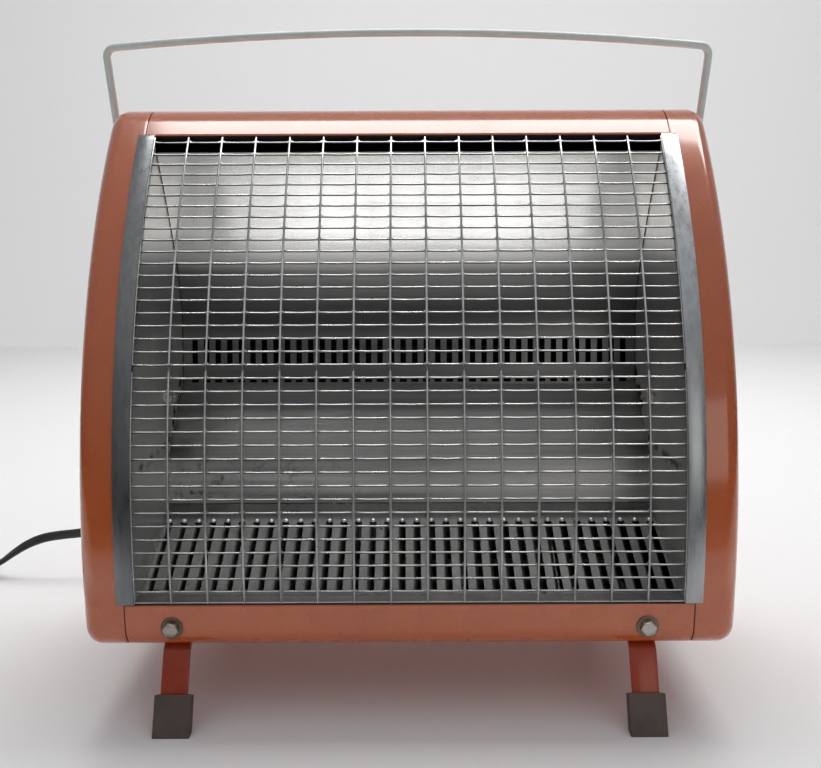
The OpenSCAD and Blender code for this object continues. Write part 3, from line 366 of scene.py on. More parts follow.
innerSteel = metal("inner_steel", (0.5, 0.5, 0.5), (0.34, 0.34, 0.34), 0.35, 0.15, (1, 1, 1), 150, 0.03)
fanSheet = metal("fan_sheet", (0.66, 0.67, 0.69), (0.5, 0.51, 0.53), 0.32, 0.12, (1, 1, 1), 180)
sheathSteel = metal("heater_sheath", (0.12, 0.1, 0.09), (0.06, 0.05, 0.05), 0.55, 0.15, (0.1, 1, 1), 200,
                    metallic=0.7)
coreSteel = metal("motor_core", (0.16, 0.16, 0.17), (0.08, 0.08, 0.09), 0.45, 0.15, (1, 0.02, 1), 900,
                  metallic=0.8)
bladeBrass = metal("blade_brass", (0.74, 0.55, 0.26), (0.58, 0.42, 0.2), 0.28, 0.12, (1, 0.1, 1), 200)
coilTape = coating("coil_tape", (0.34, 0.18, 0.07), (0.24, 0.12, 0.05), 0.5, 80)
porcelain = coating("porcelain", (0.74, 0.71, 0.64), (0.2, 0.17, 0.14), 0.22, 150, 0.05, 300, coat=0.4)
darkMoulding = coating("dark_moulding", (0.035, 0.028, 0.026), (0.022, 0.018, 0.017), 0.32, 60, 0.06)
paleNylon = coating("pale_nylon", (0.62, 0.6, 0.52), (0.52, 0.5, 0.42), 0.45, 60, 0.06)
footVinyl = coating("foot_vinyl", (0.088, 0.058, 0.044), (0.06, 0.041, 0.033), 0.52, 45, 0.2, 350,
                    dust=(0.13, 0.095, 0.075))
cordRubber = coating("cord_rubber", (0.028, 0.028, 0.03), (0.018, 0.018, 0.02), 0.34, 60, 0.06)
print("materials made")


# Mesh helpers. Sizes are in millimetres; depth counts back from the front face of the case.
halfDepth = 112.5


def yOf(depth):
    return depth - halfDepth


def keep(obj, material, replaced=(), smooth=30, bevel=0.0, segments=2, body="cabinet"):
    scene.collection.objects.link(obj)
    if bevel:
        modifier = obj.modifiers.new("edge", "BEVEL")
        modifier.width = bevel * mm
        modifier.segments = segments
        modifier.limit_method = "ANGLE"
        modifier.angle_limit = radians(40)
    if obj.modifiers:
        bpy.context.view_layer.update()
        graph = bpy.context.evaluated_depsgraph_get()
        mesh = bpy.data.meshes.new_from_object(obj.evaluated_get(graph))
        obj.modifiers.clear()
        obj.data = mesh
    obj.data.materials.clear()
    obj.data.materials.append(material)
    obj.data.polygons.foreach_set("use_smooth", [True] * len(obj.data.polygons))
    obj.data.set_sharp_from_angle(angle=radians(smooth))
    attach(obj, body)
    if replaced:
        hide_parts(*replaced)
    return obj


def at(x, point):
    return (x, yOf(point[0]), point[1])


def objectFrom(work, name):
    mesh = bpy.data.meshes.new(name)
    work.to_mesh(mesh)
    work.free()
    return bpy.data.objects.new(name, mesh)


def meshObject(name, points, faces):
    source = bpy.data.meshes.new(name)
    source.from_pydata([Vector(p) * mm for p in points], [], faces)
    work = bmesh.new()
    work.from_mesh(source)
    bpy.data.meshes.remove(source)
    bmesh.ops.remove_doubles(work, verts=work.verts, dist=1e-7)
    bmesh.ops.recalc_face_normals(work, faces=work.faces)
    return objectFrom(work, name)


def fill(work, edges):
    bmesh.ops.triangle_fill(work, use_beauty=True, use_dissolve=False, edges=edges)


def joinMeshes(name, objects):
    work = bmesh.new()
    for obj in objects:
        work.from_mesh(obj.data)
        bpy.data.meshes.remove(obj.data)
    return objectFrom(work, name)


def thicken(obj, thickness, offset=0, even=False):
    modifier = obj.modifiers.new("sheet", "SOLIDIFY")
    modifier.thickness = thickness * mm
    modifier.offset = offset
    modifier.use_even_offset = even
    return obj


def circle(radius, sides):
    return [(radius * cos(2 * pi * k / sides), radius * sin(2 * pi * k / sides)) for k in range(sides)]


def polar(center, radius, angle):
    return (center[0] + radius * cos(radians(angle)), center[1] + radius * sin(radians(angle)))


def arc(center, radius, start, end, steps):
    return [polar(center, radius, start + (end - start) * i / steps) for i in range(steps + 1)]


def unit(a, b):
    length = dist(a, b)
    return ((b[0] - a[0]) / length, (b[1] - a[1]) / length)


# Rounds the inner corners of a path of sheet
def bent(points, radii, steps=6):
    path = [points[0]]
    for i, radius in enumerate(radii, 1):
        a = unit(points[i - 1], points[i])
        b = unit(points[i], points[i + 1])
        angle = atan2(a[0] * b[1] - a[1] * b[0], a[0] * b[0] + a[1] * b[1])
        side = 1 if angle > 0 else -1
        back = radius * tan(abs(angle) / 2)
        start = (points[i][0] - a[0] * back, points[i][1] - a[1] * back)
        center = (start[0] - a[1] * side * radius, start[1] + a[0] * side * radius)
        first = degrees(atan2(start[1] - center[1], start[0] - center[0]))
        path += arc(center, radius, first, first + degrees(angle), steps)
    return path + [points[-1]]


# Adds points along a path at given lengths, so that slots can start and end there
def withStops(path, stops):
    result = [path[0]]
    walked = 0.0
    for a, b in zip(path, path[1:]):
        length = dist(a, b)
        for stop in sorted(stops):
            if walked + 0.01 < stop < walked + length - 0.01:
                t = (stop - walked) / length
                result.append((a[0] + (b[0] - a[0]) * t, a[1] + (b[1] - a[1]) * t))
        result.append(b)
        walked += length
    return result


# Holes of one width and length at several places across the sheet
def holeRow(places, width, start, end):
    return [(x - width / 2, x + width / 2, start, end) for x in places]


def lengths(path):
    total = [0.0]
    for a, b in zip(path, path[1:]):
        total.append(total[-1] + dist(a, b))
    return total


# A sheet that follows a path across the width; cells inside a hole (x0, x1, s0, s1) are left out
def sheetObject(name, path, xEdges, thickness, holes=()):
    path = withStops(path, [s for hole in holes for s in hole[2:]])
    xEdges = sorted(set(xEdges) | {x for hole in holes for x in hole[:2]})
    s = lengths(path)
    wide = len(xEdges)
    faces = []
    for i in range(len(path) - 1):
        middle = (s[i] + s[i + 1]) / 2
        spans = [hole[:2] for hole in holes if hole[2] < middle < hole[3]]
        for j in range(wide - 1):
            x = (xEdges[j] + xEdges[j + 1]) / 2
            if not any(x0 < x < x1 for x0, x1 in spans):
                faces.append((i * wide + j, i * wide + j + 1, (i + 1) * wide + j + 1, (i + 1) * wide + j))
    points = [at(x, point) for point in path for x in xEdges]
    return thicken(meshObject(name, points, faces), thickness, even=True)


# A skin over rings of points, closed at both ends
def skin(name, rings):
    n = len(rings[0])
    last = (len(rings) - 1) * n
    faces = [(i + k, i + (k + 1) % n, i + n + (k + 1) % n, i + n + k)
             for i in range(0, last, n) for k in range(n)]
    faces += [tuple(range(n)), tuple(range(last, last + n))]
    return meshObject(name, [p for ring in rings for p in ring], faces)


# A section of (side, up) offsets swept along points. Each ring is square to the path, and its up is the
# guide, or else the vertical where the path allows that.
def sweepObject(name, path, section, turns=None, guide=None):
    rings = []
    for i, point in enumerate(path):
        along = (Vector(path[min(i + 1, len(path) - 1)]) - Vector(path[max(i - 1, 0)])).normalized()
        side = along.cross(guide or Vector((0, 0, 1) if abs(along.z) < 0.95 else (0, 1, 0))).normalized()
        rise = side.cross(along)
        turn = radians(turns[i]) if turns else 0.0
        rings.append([Vector(point) + side * (u * cos(turn) - v * sin(turn))
                      + rise * (u * sin(turn) + v * cos(turn)) for u, v in section])
    return skin(name, rings)


# Cord first: the free stretch, then the coil put away beside the heater
cordSizes = {"width": 9.0, "thick": 5.2, "sides": 20, "steps": 3, "flatFrom": 11, "flatTo": 16}
cordLead = [(-150, 254, 106), (-150, 264, 105), (-152, 276, 102), (-160, 288, 97), (-175, 296, 90),
            (-196, 299, 82), (-220, 297, 74), (-246, 291, 66), (-272, 284, 58), (-298, 277, 52),
            (-326, 273, 47), (-346, 272, 45), (-364, 272, 42), (-380, 272, 36), (-395, 273, 27),
            (-409, 275, 17), (-424, 278, 8), (-440, 281, 3.4), (-458, 282, 2.8), (-471, 282, 2.8)]
coil = {"x": -480.0, "depth": 222.5, "outer": 59.5, "step": 9.5, "turns": 4.5, "rings": 48, "layer": 5.8,
        "floor": 2.8, "plugLead": 40.0}


def coilPoint(t):
    middle = coil["turns"] / 2
    radius = coil["outer"] - coil["step"] * (middle - abs(t - middle))
    climb = min(1.0, max(0.0, (t - middle + 0.25) / 0.5))
    angle = radians(90 + 360 * t)
    return (coil["x"] + radius * cos(angle), yOf(coil["depth"]) + radius * sin(angle),
            coil["floor"] + coil["layer"] * climb)


def smoothLine(points, steps):
    result = []
    for i in range(len(points) - 1):
        p0, p1, p2, p3 = (Vector(points[max(0, min(len(points) - 1, i + k))]) for k in (-1, 0, 1, 2))
        for k in range(steps):
            t = k / steps
            result.append(tuple(0.5 * (2 * p1 + (p2 - p0) * t + (2 * p0 - 5 * p1 + 4 * p2 - p3) * t * t
                                       + (3 * p1 - p0 - 3 * p2 + p3) * t ** 3)))
    return result + [tuple(points[-1])]


# Two round cores side by side, with a shallow groove between them
def flatSection(width, thick, sides):
    section = []
    for k in range(sides):
        angle = 2 * pi * (k + 0.5) / sides
        across = width / 2 * cos(angle)
        groove = 1 - 0.16 * exp(-(across / 0.9) ** 2)
        section.append((across, thick / 2 * groove * copysign(abs(sin(angle)) ** 0.75, sin(angle))))
    return section


def makeCord():
    c = cordSizes
    path = smoothLine([(x, yOf(depth), z) for x, depth, z in cordLead], c["steps"])
    path += [coilPoint(i / coil["rings"]) for i in range(int(coil["turns"] * coil["rings"]) + 1)]
    end = path[-1]
    path += [(end[0] + coil["plugLead"] * k / 4, end[1], end[2]) for k in (1, 2, 3, 4)]
    start, span = c["flatFrom"] * c["steps"], (c["flatTo"] - c["flatFrom"]) * c["steps"]
    turned = [90 * (1 - min(1, max(0, (i - start) / span))) for i in range(len(path))]
    cord = sweepObject("flat_cord", path, flatSection(c["width"], c["thick"], c["sides"]), turned)
    keep(cord, cordRubber, ["cord_lead", "cord_coil"], 60)
    total = lengths(path)[-1] * mm
    print("cord length", round(total, 3))
    return cord, path, total


cordPiece, cordPath, cordTotal = makeCord()

# Plug: a waisted moulding with finger ridges, as places along it with half its width and height
plug = {"sides": 28, "square": 0.55,
        "places": [(0, 5.2, 4.2), (3, 5.8, 4.6), (8, 7.0, 5.6), (13, 10.5, 7.0), (15, 12.6, 7.8),
                   (17, 11.6, 7.0), (19, 12.7, 7.9), (21, 11.7, 7.1), (23, 12.8, 7.95), (26, 13.0, 8.0),
                   (29.4, 13.0, 8.0), (30, 12.4, 7.4)]}


def makePlug():
    low, high = (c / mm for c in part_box("plug_body"))
    middle = (low + high) / 2
    round4 = [[copysign(abs(c) ** plug["square"], c) for c in pair] for pair in circle(1.0, plug["sides"])]
    rings = [[(low.x + along, middle.y + halfWide * u, middle.z + halfHigh * v) for u, v in round4]
             for along, halfWide, halfHigh in plug["places"]]
    return keep(skin("plug_moulding", rings), cordRubber, ["plug_body"], 50)


# Strain relief: a tapered sleeve with ring grooves
relief = {"depth": 226.1, "sides": 32, "grooves": 6, "pitch": 3.6, "first": 5.5, "radius": 7.7, "taper": 0.24,
          "groove": 0.9}


def makeRelief():
    middle = sum(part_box("strain_relief"), Vector()) / 2 / mm
    profile = [(0.0, 8.0), (3.0, 8.0), (3.6, 7.4)]
    for i in range(relief["grooves"]):
        y = relief["first"] + i * relief["pitch"]
        r = relief["radius"] - i * relief["taper"]
        low = r - relief["groove"]
        profile += [(y, low), (y + 0.4, r), (y + 2.4, r - 0.1), (y + 2.8, low)]
    profile += [(27.2, 6.1), (28.0, 5.7)]
    rings = [[(middle.x + u, yOf(relief["depth"]) + y, middle.z + v) for u, v in circle(r, relief["sides"])]
             for y, r in profile]
    return keep(skin("ringed_relief", rings), cordRubber, ["strain_relief"], 35)


plugPiece = makePlug()
makeRelief()
print("cord made")

# Case: the side outline is shared by the shells, the strips and the grille
case = {"half": 228.0, "depth": 225.0, "low": 56.0, "top": 436.0, "bow": 505.0, "bowStart": 95.3,
        "rollFront": 35.0, "rollBack": 28.0, "lowEdge": 16.0, "sheet": 0.9, "capWidth": 31.0,
        "capRound": 12.0, "lip": 90.0, "openArc": 345.6, "backHigh": 388.0, "backLow": 90.0}
pivot = {"depth": 179.0, "height": 380.0, "hole": 5.6, "sides": 32}
rollReach = case["bow"] - case["rollFront"]
rollLean = degrees(asin((case["top"] - case["bowStart"] - case["rollFront"]) / rollReach))
bowCenter = (case["bow"], case["bowStart"])
rollCenter = polar(bowCenter, rollReach, 180 - rollLean)
backCenter = (case["depth"] - case["rollBack"], case["top"] - case["rollBack"])
lowBackCenter = (case["depth"] - case["lowEdge"], case["low"] + case["lowEdge"])
lowFrontCenter = (case["lowEdge"], case["low"] + case["lowEdge"])


# The lean of the bow at a length along it, and the point sunk below its surface there
def leanAt(s):
    return max(0.0, s) / case["bow"]


def onBow(s, sink):
    if s < 0:
        return (sink, case["bowStart"] + s)
    lean = leanAt(s)
    return (bowCenter[0] - (case["bow"] - sink) * cos(lean), bowCenter[1] + (case["bow"] - sink) * sin(lean))


def outline(inset):
    return (arc(lowFrontCenter, case["lowEdge"] - inset, 180, 270, 12)
            + arc(lowBackCenter, case["lowEdge"] - inset, 270, 360, 12)
            + arc(backCenter, case["rollBack"] - inset, 0, 90, 14)
            + arc(rollCenter, case["rollFront"] - inset, 90, 180 - rollLean, 14)
            + arc(bowCenter, case["bow"] - inset, 180 - rollLean, 180, 40)[1:])


# End caps: rolled rim, flat side with the handle's hole, flange turned in at the seam
def endCap(name, side, node):
    half = case["half"]
    rim = case["capRound"]
    seam = half - case["capWidth"] + 0.35
    rings = [(seam - 3.2, 1.25), (seam, 1.2), (seam + 0.35, 0.35), (seam + 1.2, 0.0), (seam + 1.7, 0.0)]
    rings += [(x, -inset) for x, inset in arc((half - rim, -rim), rim, 90, 0, 10)]
    work = bmesh.new()
    loops = [[at(side * x, p) for p in outline(inset)] for x, inset in rings]
    loops.append([at(side * half, (pivot["depth"] + u, pivot["height"] + v))
                  for u, v in circle(pivot["hole"], pivot["sides"])])
    verts = [[work.verts.new(Vector(p) * mm) for p in loop] for loop in loops]
    hole = verts.pop()
    n = len(verts[0])
    for a, b in zip(verts, verts[1:]):
        for k in range(n):
            work.faces.new((a[k], a[(k + 1) % n], b[(k + 1) % n], b[k]))
    edges = [work.edges.get((verts[-1][k], verts[-1][(k + 1) % n])) for k in range(n)]
    edges += [work.edges.new(pair) for pair in zip(hole, hole[1:] + hole[:1])]
    fill(work, edges)
    bmesh.ops.remove_doubles(work, verts=work.verts, dist=1e-7)
    bmesh.ops.recalc_face_normals(work, faces=work.faces)
    shell = thicken(objectFrom(work, name), case["sheet"], -1)
    keep(shell, coralEnamel, [node], 30)


endCap("left_cap_shell", -1, "left_end_cap")
endCap("right_cap_shell", 1, "right_end_cap")

# Top and bottom sheets
half = case["sheet"] / 2
seamX = case["half"] - case["capWidth"] - 0.35
topPath = ([onBow(case["openArc"], 6.0), onBow(case["openArc"], 1.6), onBow(case["openArc"] + 0.35, 0.75)]
           + [onBow(case["openArc"] + beyond, half) for beyond in (1.2, 1.6, 4.0, 7.5)]
           + arc(rollCenter, case["rollFront"] - half, 180 - rollLean, 90, 18)
           + arc(backCenter, case["rollBack"] - half, 90, 0, 14)
           + [(case["depth"] - half, case["backHigh"])])
topSheet = sheetObject("top_sheet", topPath, [-seamX, -seamX / 2, 0, seamX / 2, seamX], case["sheet"])
keep(topSheet, coralEnamel, ["wrap_panel"], 35)

lowArc = arc(lowFrontCenter, case["lowEdge"] - half, 180, 270, 14)
bottomPath = (bent([(12, case["lip"] - half), (half, case["lip"] - half),
                    (half, case["low"] + case["lowEdge"])], [1.2])
              + lowArc[1:] + arc(lowBackCenter, case["lowEdge"] - half, 270, 360, 12)
              + [(case["depth"] - half, case["backLow"])])
flatStart = lengths(bottomPath)[bottomPath.index(lowArc[-1])]
vents = {"rows": (76.5, 136.5), "places": range(-110, 111, 20), "wide": 12, "long": 3}
ventHoles = []
for row in vents["rows"]:
    start = flatStart + row
    ventHoles += holeRow(vents["places"], vents["wide"], start, start + vents["long"])
bottomSheet = sheetObject("bottom_sheet", bottomPath, [-seamX, 0, seamX], case["sheet"], ventHoles)
keep(bottomSheet, coralEnamel, ["bottom_pan"], 35)
print("case shells made")

# Polished strips beside the opening, with a turned outer edge
strip = {"inner": 190.0, "width": 12.4, "thick": 0.8, "stand": 0.1, "lift": 0.5, "steps": 60}


def trimStrip(name, side, node):
    sink = -strip["stand"] - strip["thick"] / 2
    path = [(sink, case["lip"])]
    path += [onBow(case["openArc"] * i / strip["steps"], sink) for i in range(strip["steps"] + 1)]
    edges = sorted([side * strip["inner"], side * (strip["inner"] + strip["width"])])
    piece = sheetObject(name, path, [edges[0], sum(edges) / 2, edges[1]], strip["thick"])
    for vert in piece.data.vertices:
        lift = strip["lift"] * mm * (1 - (abs(vert.co.x) / mm - strip["inner"]) / strip["width"])
        lean = asin(max(0.0, vert.co.z / mm - case["bowStart"]) / case["bow"])
        vert.co += Vector((0, -lift * cos(lean), lift * sin(lean)))
    keep(piece, stripSteel, [node], 40, 0.25)


trimStrip("left_strip_polished", -1, "left_trim_strip")
trimStrip("right_strip_polished", 1, "right_trim_strip")

# Grille: uprights in front, cross wires behind them, a small weld at each crossing
grille = {"crossPitch": 9.33, "firstCross": 2.8, "crosses": 37, "uprightPitch": 25.4, "uprights": 16,
          "crossD": 1.5, "uprightD": 1.6, "sink": 1.0, "over": 1.2, "tuck": 6.0, "sag": 0.16,
          "fillet": 2.4, "filletThick": 0.9, "lastUp": 2.6, "weld": (1.05, 0.85, 0.95)}
uprightX = [(i - (grille["uprights"] - 1) / 2) * grille["uprightPitch"] for i in range(grille["uprights"])]
uprightSink = grille["sink"] + grille["uprightD"] / 2
crossSink = grille["sink"] + grille["uprightD"] + grille["crossD"] / 2
crossAt = [grille["firstCross"] + i * grille["crossPitch"] for i in range(grille["crosses"])]
crossAt[-1] += grille["lastUp"]


# A place at x across and s up the bow, moved back into the case and up along the bow
def nearBow(x, s, sink, back=0.0, up=0.0):
    depth, height = onBow(s, sink)
    lean = leanAt(s)
    return (x, yOf(depth) + back * cos(lean) + up * sin(lean), height - back * sin(lean) + up * cos(lean))


# A unit ball as points and faces
def ball(subdivisions):
    work = bmesh.new()
    bmesh.ops.create_icosphere(work, subdivisions=subdivisions, radius=1.0)
    work.verts.index_update()
    points = [v.co.copy() for v in work.verts]
    faces = [tuple(v.index for v in face.verts) for face in work.faces]
    work.free()
    return points, faces


# One mesh from many copies of a part: its faces, and the points of each copy
def copiesObject(name, part, copies):
    faces = [tuple(i * len(copy) + k for k in face) for i, copy in enumerate(copies) for face in part]
    return meshObject(name, [p for copy in copies for p in copy], faces)


def makeWires(rng):
    g = grille
    section = circle(g["uprightD"] / 2, 16)
    bars = []
    for x in uprightX:
        path = [(x, yOf(uprightSink), case["lip"] + 0.15)]
        path += [nearBow(x, (case["openArc"] + g["tuck"]) * i / 72, uprightSink) for i in range(73)]
        bars.append(sweepObject("upright", path, section))
    keep(joinMeshes("upright_wires", bars), uprightSteel, ["grille_uprights"], 60)
    section = circle(g["crossD"] / 2, 16)
    bars = []
    shares = [k / 8 for k in range(8)]
    for s in crossAt:
        sags = [g["sag"] * rng.uniform(0.4, 1.6) for _ in uprightX]
        path = [nearBow(uprightX[0] - g["over"], s, crossSink)]
        for x, sag in zip(uprightX[:-1], sags):
            path += [nearBow(x + g["uprightPitch"] * t, s, crossSink, up=-sag * sin(pi * t) ** 2)
                     for t in shares]
        path += [nearBow(x, s, crossSink) for x in (uprightX[-1], uprightX[-1] + g["over"])]
        bars.append(sweepObject("cross", path, section))
    keep(joinMeshes("cross_wires", bars), wireSteel, ["grille_cross_wires"], 60)


def makeWelds(rng):
    ballPoints, ballFaces = ball(2)
    wide, deep, tall = grille["weld"]
    sink = (uprightSink + crossSink) / 2
    welds = []
    for s in crossAt:
        for x in uprightX:
            u = wide * rng.uniform(0.85, 1.2)
            w = tall * rng.uniform(0.85, 1.2)
            welds.append([nearBow(x + v.x * u, s, sink, v.y * deep, v.z * w) for v in ballPoints])
    keep(copiesObject("wire_welds", ballFaces, welds), wireSteel, (), 80)


# Tin that has run into the lower corners of each cell: a small web with a hollow edge
def makeFillets(rng):
    fillets = []
    steps = 5
    n = steps + 2
    web = [(n - 1, k, k + 1) for k in range(steps)]
    web += [(2 * n - 1, n + k + 1, n + k) for k in range(steps)]
    web += [(k, n + k, n + (k + 1) % n, (k + 1) % n) for k in range(n)]
    half = grille["filletThick"] / 2
    for s in crossAt:
        for x in uprightX:
            for side in (-1, 1):
                if abs(x + side * grille["fillet"]) > uprightX[-1] + grille["over"]:
                    continue
                size = grille["fillet"] * rng.uniform(0.75, 1.15)
                turns = [pi / 2 * k / steps for k in range(steps + 1)]
                edge = [(0.5 + size * (1 - sin(t)), 0.5 + size * (1 - cos(t))) for t in turns] + [(0.1, 0.1)]
                fillets.append([nearBow(x + side * u, s, crossSink - 0.35, layer, w)
                                for layer in (-half, half) for u, w in edge])
    keep(copiesObject("wire_fillets", web, fillets), wireSteel, (), 60)


rng = random.Random(4)
makeWires(rng)
makeWelds(rng)
makeFillets(rng)
print("grille made")

# Inside: curved reflector with its slotted foot, side liners, hood, floor louvre
inside = {"linerX": 190.0, "panelHalf": 189.8, "liner": 0.6}
reflector = {"top": (112, 402), "knee": (147.1, 340), "leans": (33.0, 26.0, -8.0), "half": 189.3,
             "rowStart": (166.5, 263.65), "rowLow": (159.2, 215.6), "rowCount": 38, "rowPitch": 9.7,
             "rowSlot": 4.6, "rowFrom": 10.0, "rowLength": 20.4, "dashUp": 2.3, "dashHigh": 2.6,
             "dashWide": 6.0}
hood = {"top": (158, 216), "knee": (103, 167), "foot": (98, 132), "bend": 3.0}
louvre = {"front": (13, 90.6), "lap": 11.2, "count": 34, "pitch": 11.2, "slot": 5.6, "start": 3.0,
          "thick": 0.8, "fin": 5.0, "finThick": 0.7, "finLean": 50.0, "bump": (2.3, 2.4, 2.2), "bumpUp": 1.6,
          "endGap": 25.0, "footGap": 1.4}


# A soft bend between two points of the section, with a lean from upright at each end
def softBend(start, end, firstLean, lastLean, steps):
    reach = dist(start, end) * 0.345
    first, last = radians(firstLean), radians(lastLean)
    corners = [start, (start[0] + reach * sin(first), start[1] - reach * cos(first)),
               (end[0] - reach * sin(last), end[1] + reach * cos(last)), end]
    points = []
    for i in range(steps + 1):
        t = i / steps
        shares = ((1 - t) ** 3, 3 * t * (1 - t) ** 2, 3 * t * t * (1 - t), t ** 3)
        points.append(tuple(sum(share * corner[k] for share, corner in zip(shares, corners)) for k in (0, 1)))
    return points


def rowOf(count, pitch):
    return [(i - (count - 1) / 2) * pitch for i in range(count)]


panelEdges = [-inside["panelHalf"], 0, inside["panelHalf"]]


def makeReflector():
    r = reflector
    first, middle, last = r["leans"]
    upper = softBend(r["top"], r["knee"], first, middle, 12)[:-1]
    upper += softBend(r["knee"], r["rowStart"], middle, last, 36)
    path = upper + [r["rowLow"]]
    slotStart = lengths(upper)[-1] + r["rowFrom"]
    dashEnd = lengths(path)[-1] - r["dashUp"]
    rowX = rowOf(r["rowCount"], r["rowPitch"])
    holes = holeRow(rowX, r["rowSlot"], slotStart, slotStart + r["rowLength"])
    holes += holeRow(rowX, r["dashWide"], dashEnd - r["dashHigh"], dashEnd)
    sheet = sheetObject("curved_reflector", path, [-r["half"], 0, r["half"]], inside["liner"], holes)
    keep(sheet, mirrorSteel, ["reflector"], 28)
    return path


def makeLouvre():
    f = louvre
    direction = unit(f["front"], hood["foot"])
    slotEnd = dist(f["front"], hood["foot"]) - f["endGap"] + f["start"]
    foot = (hood["foot"][0] - f["footGap"] * direction[0], hood["foot"][1] - f["footGap"] * direction[1])
    floorPath = bent([(f["front"][0] - f["lap"], f["front"][1]), f["front"], foot], [2.0], 5)
    floorX = rowOf(f["count"], f["pitch"])
    holes = holeRow(floorX, f["slot"], f["lap"] + f["start"], f["lap"] + slotEnd)
    floor = sheetObject("louvre_sheet", floorPath, panelEdges, f["thick"], holes)
    keep(floor, louvreSteel, ["floor_louvre"], 28)
    # The front flange keeps the plain metal; the rest of the sheet carries the louvre's painted shade
    floor.data.materials.append(flangeSteel)
    for face in floor.data.polygons:
        if face.center.y < (yOf(f["front"][0]) - 0.8) * mm:
            face.material_index = 1

    # A place across the floor, along its slope and out of it
    def onFloor(x, along, out):
        return (x, yOf(f["front"][0] + direction[0] * along - direction[1] * out),
                f["front"][1] + direction[1] * along + direction[0] * out)

    # Fins: each slot's metal is bent down along its left side, with a gentle curve
    fin = []
    for k in range(6):
        a = 2 * k
        b = 14 + 2 * k
        fin += [(a, a + 2, b + 2, b), (a + 1, b + 1, b + 3, a + 3)]
        fin += [(a, a + 1, a + 3, a + 2), (b, b + 2, b + 3, b + 1)]
    fin += [(0, 14, 15, 1), (12, 13, 27, 26)]
    curve = []
    for k in range(7):
        bend = radians(f["finLean"]) * (0.35 + 0.65 * k / 6)
        reach = f["fin"] * k / 6
        curve.append((reach * cos(bend) * 0.95 - f["slot"] / 2, -0.3 - reach * sin(bend)))
    fins = [[onFloor(x + across, t, down - side) for t in (f["start"] + 0.8, slotEnd - 0.8)
             for across, down in curve for side in (0, f["finThick"])] for x in floorX]
    keep(copiesObject("louvre_fins", fin, fins), louvreSteel, (), 40)

    # Pressed bumps above the slots, in the bright wire metal: a painted highlight against the darker louvre
    ballPoints, ballFaces = ball(3)
    wide, long, tall = f["bump"]
    bumps = [[onFloor(x + v.x * wide, slotEnd + f["bumpUp"] + v.y * long, v.z * tall) for v in ballPoints]
             for x in floorX]
    keep(copiesObject("louvre_bumps", ballFaces, bumps), wireSteel, (), 60)


# Side liners: flat plates cut to the hollow's outline
def makeLiners(reflectorPath):
    grilleBack = crossSink + grille["crossD"] / 2 + 0.6
    first = grille["firstCross"]
    ring = [onBow(first + i / 40 * (case["openArc"] - first - 6), grilleBack) for i in range(41)]
    ring += reflectorPath + [(hood["top"][0] - 2, hood["top"][1]), hood["knee"], hood["foot"],
                             louvre["front"], (4.2, 91.0)]
    for side, name, node in ((-1, "left_liner_plate", "left_liner"), (1, "right_liner_plate", "right_liner")):
        work = bmesh.new()
        verts = [work.verts.new(Vector(at(side * (inside["linerX"] + 0.3), p)) * mm) for p in ring]
        edges = [work.edges.new(pair) for pair in zip(verts, verts[1:] + verts[:1])]
        fill(work, edges)
        plate = thicken(objectFrom(work, name), inside["liner"])
        keep(plate, linerSteel, [node], 30)


reflectorPath = makeReflector()
hoodPath = bent([hood["top"], hood["knee"], hood["foot"]], [hood["bend"]], 8)
hoodSheet = sheetObject("sloping_hood", hoodPath, panelEdges, inside["liner"])
keep(hoodSheet, hoodSteel, ["outlet_hood"], 28)
makeLouvre()
makeLiners(reflectorPath)
print("inside panels made")

# Front rail screws: hex head with a raised face, on a washer
railScrew = {"x": 165.0, "z": 73.0, "washer": 7.75, "washerT": 1.2, "flat": 10.0, "touch": 0.1, "turn": 0.2,
             "sides": 48}


def makeRailScrews():
    s = railScrew
    front = -s["touch"] - s["washerT"]
    corner = s["flat"] / 2 / cos(radians(30))
    washerProfile = [(-s["touch"], 2.7), (-s["touch"], s["washer"] - 0.2), (-s["touch"] - 0.25, s["washer"]),
                     (front + 0.35, s["washer"]), (front, s["washer"] - 0.4), (front, 2.7)]
    # Depth, share of the radius, and how far the hexagon's corners are rounded off
    headProfile = [(front, 1.0, 0), (front - 2.9, 1.0, 0), (front - 3.5, 0.965, 0.35),
                   (front - 4.0, 0.86, 0.9), (front - 3.75, 0.72, 1.0), (front - 3.6, 0.35, 1.0)]
    washers = []
    heads = []
    for side in (-1, 1):
        offset = Vector((side * s["x"], yOf(0), s["z"]))
        washers.append(skin("washer", [[offset + Vector((u, depth, v)) for u, v in circle(r, s["sides"])]
                                       for depth, r in washerProfile]))
        rings = []
        for depth, share, roundness in headProfile:
            ring = []
            for k in range(s["sides"]):
                angle = 2 * pi * k / s["sides"]
                inner = angle % (pi / 3) - pi / 6
                angle += s["turn"] * side
                hexRadius = s["flat"] / 2 / cos(inner)
                radius = (hexRadius * (1 - roundness) + corner * 0.93 * roundness) * share
                ring.append(offset + Vector((radius * cos(angle), depth, radius * sin(angle))))
            rings.append(ring)
        heads.append(skin("head", rings))
    keep(joinMeshes("rail_washer_rings", washers), tarnishedSteel, ["rail_washers"], 30)
    keep(joinMeshes("rail_screw_heads", heads), platedSteel, ["rail_screws"], 25)


makeRailScrews()

# Handle: round rod with a bowed grip, rounded corners and pins turned in at the pivots
handle = {"rod": 3.0, "gap": 3.0, "reach": 119.0, "bow": 10.0, "corner": 8.0, "foot": 5.0, "pin": 13.0,
          "lean": 17.4, "sides": 24}


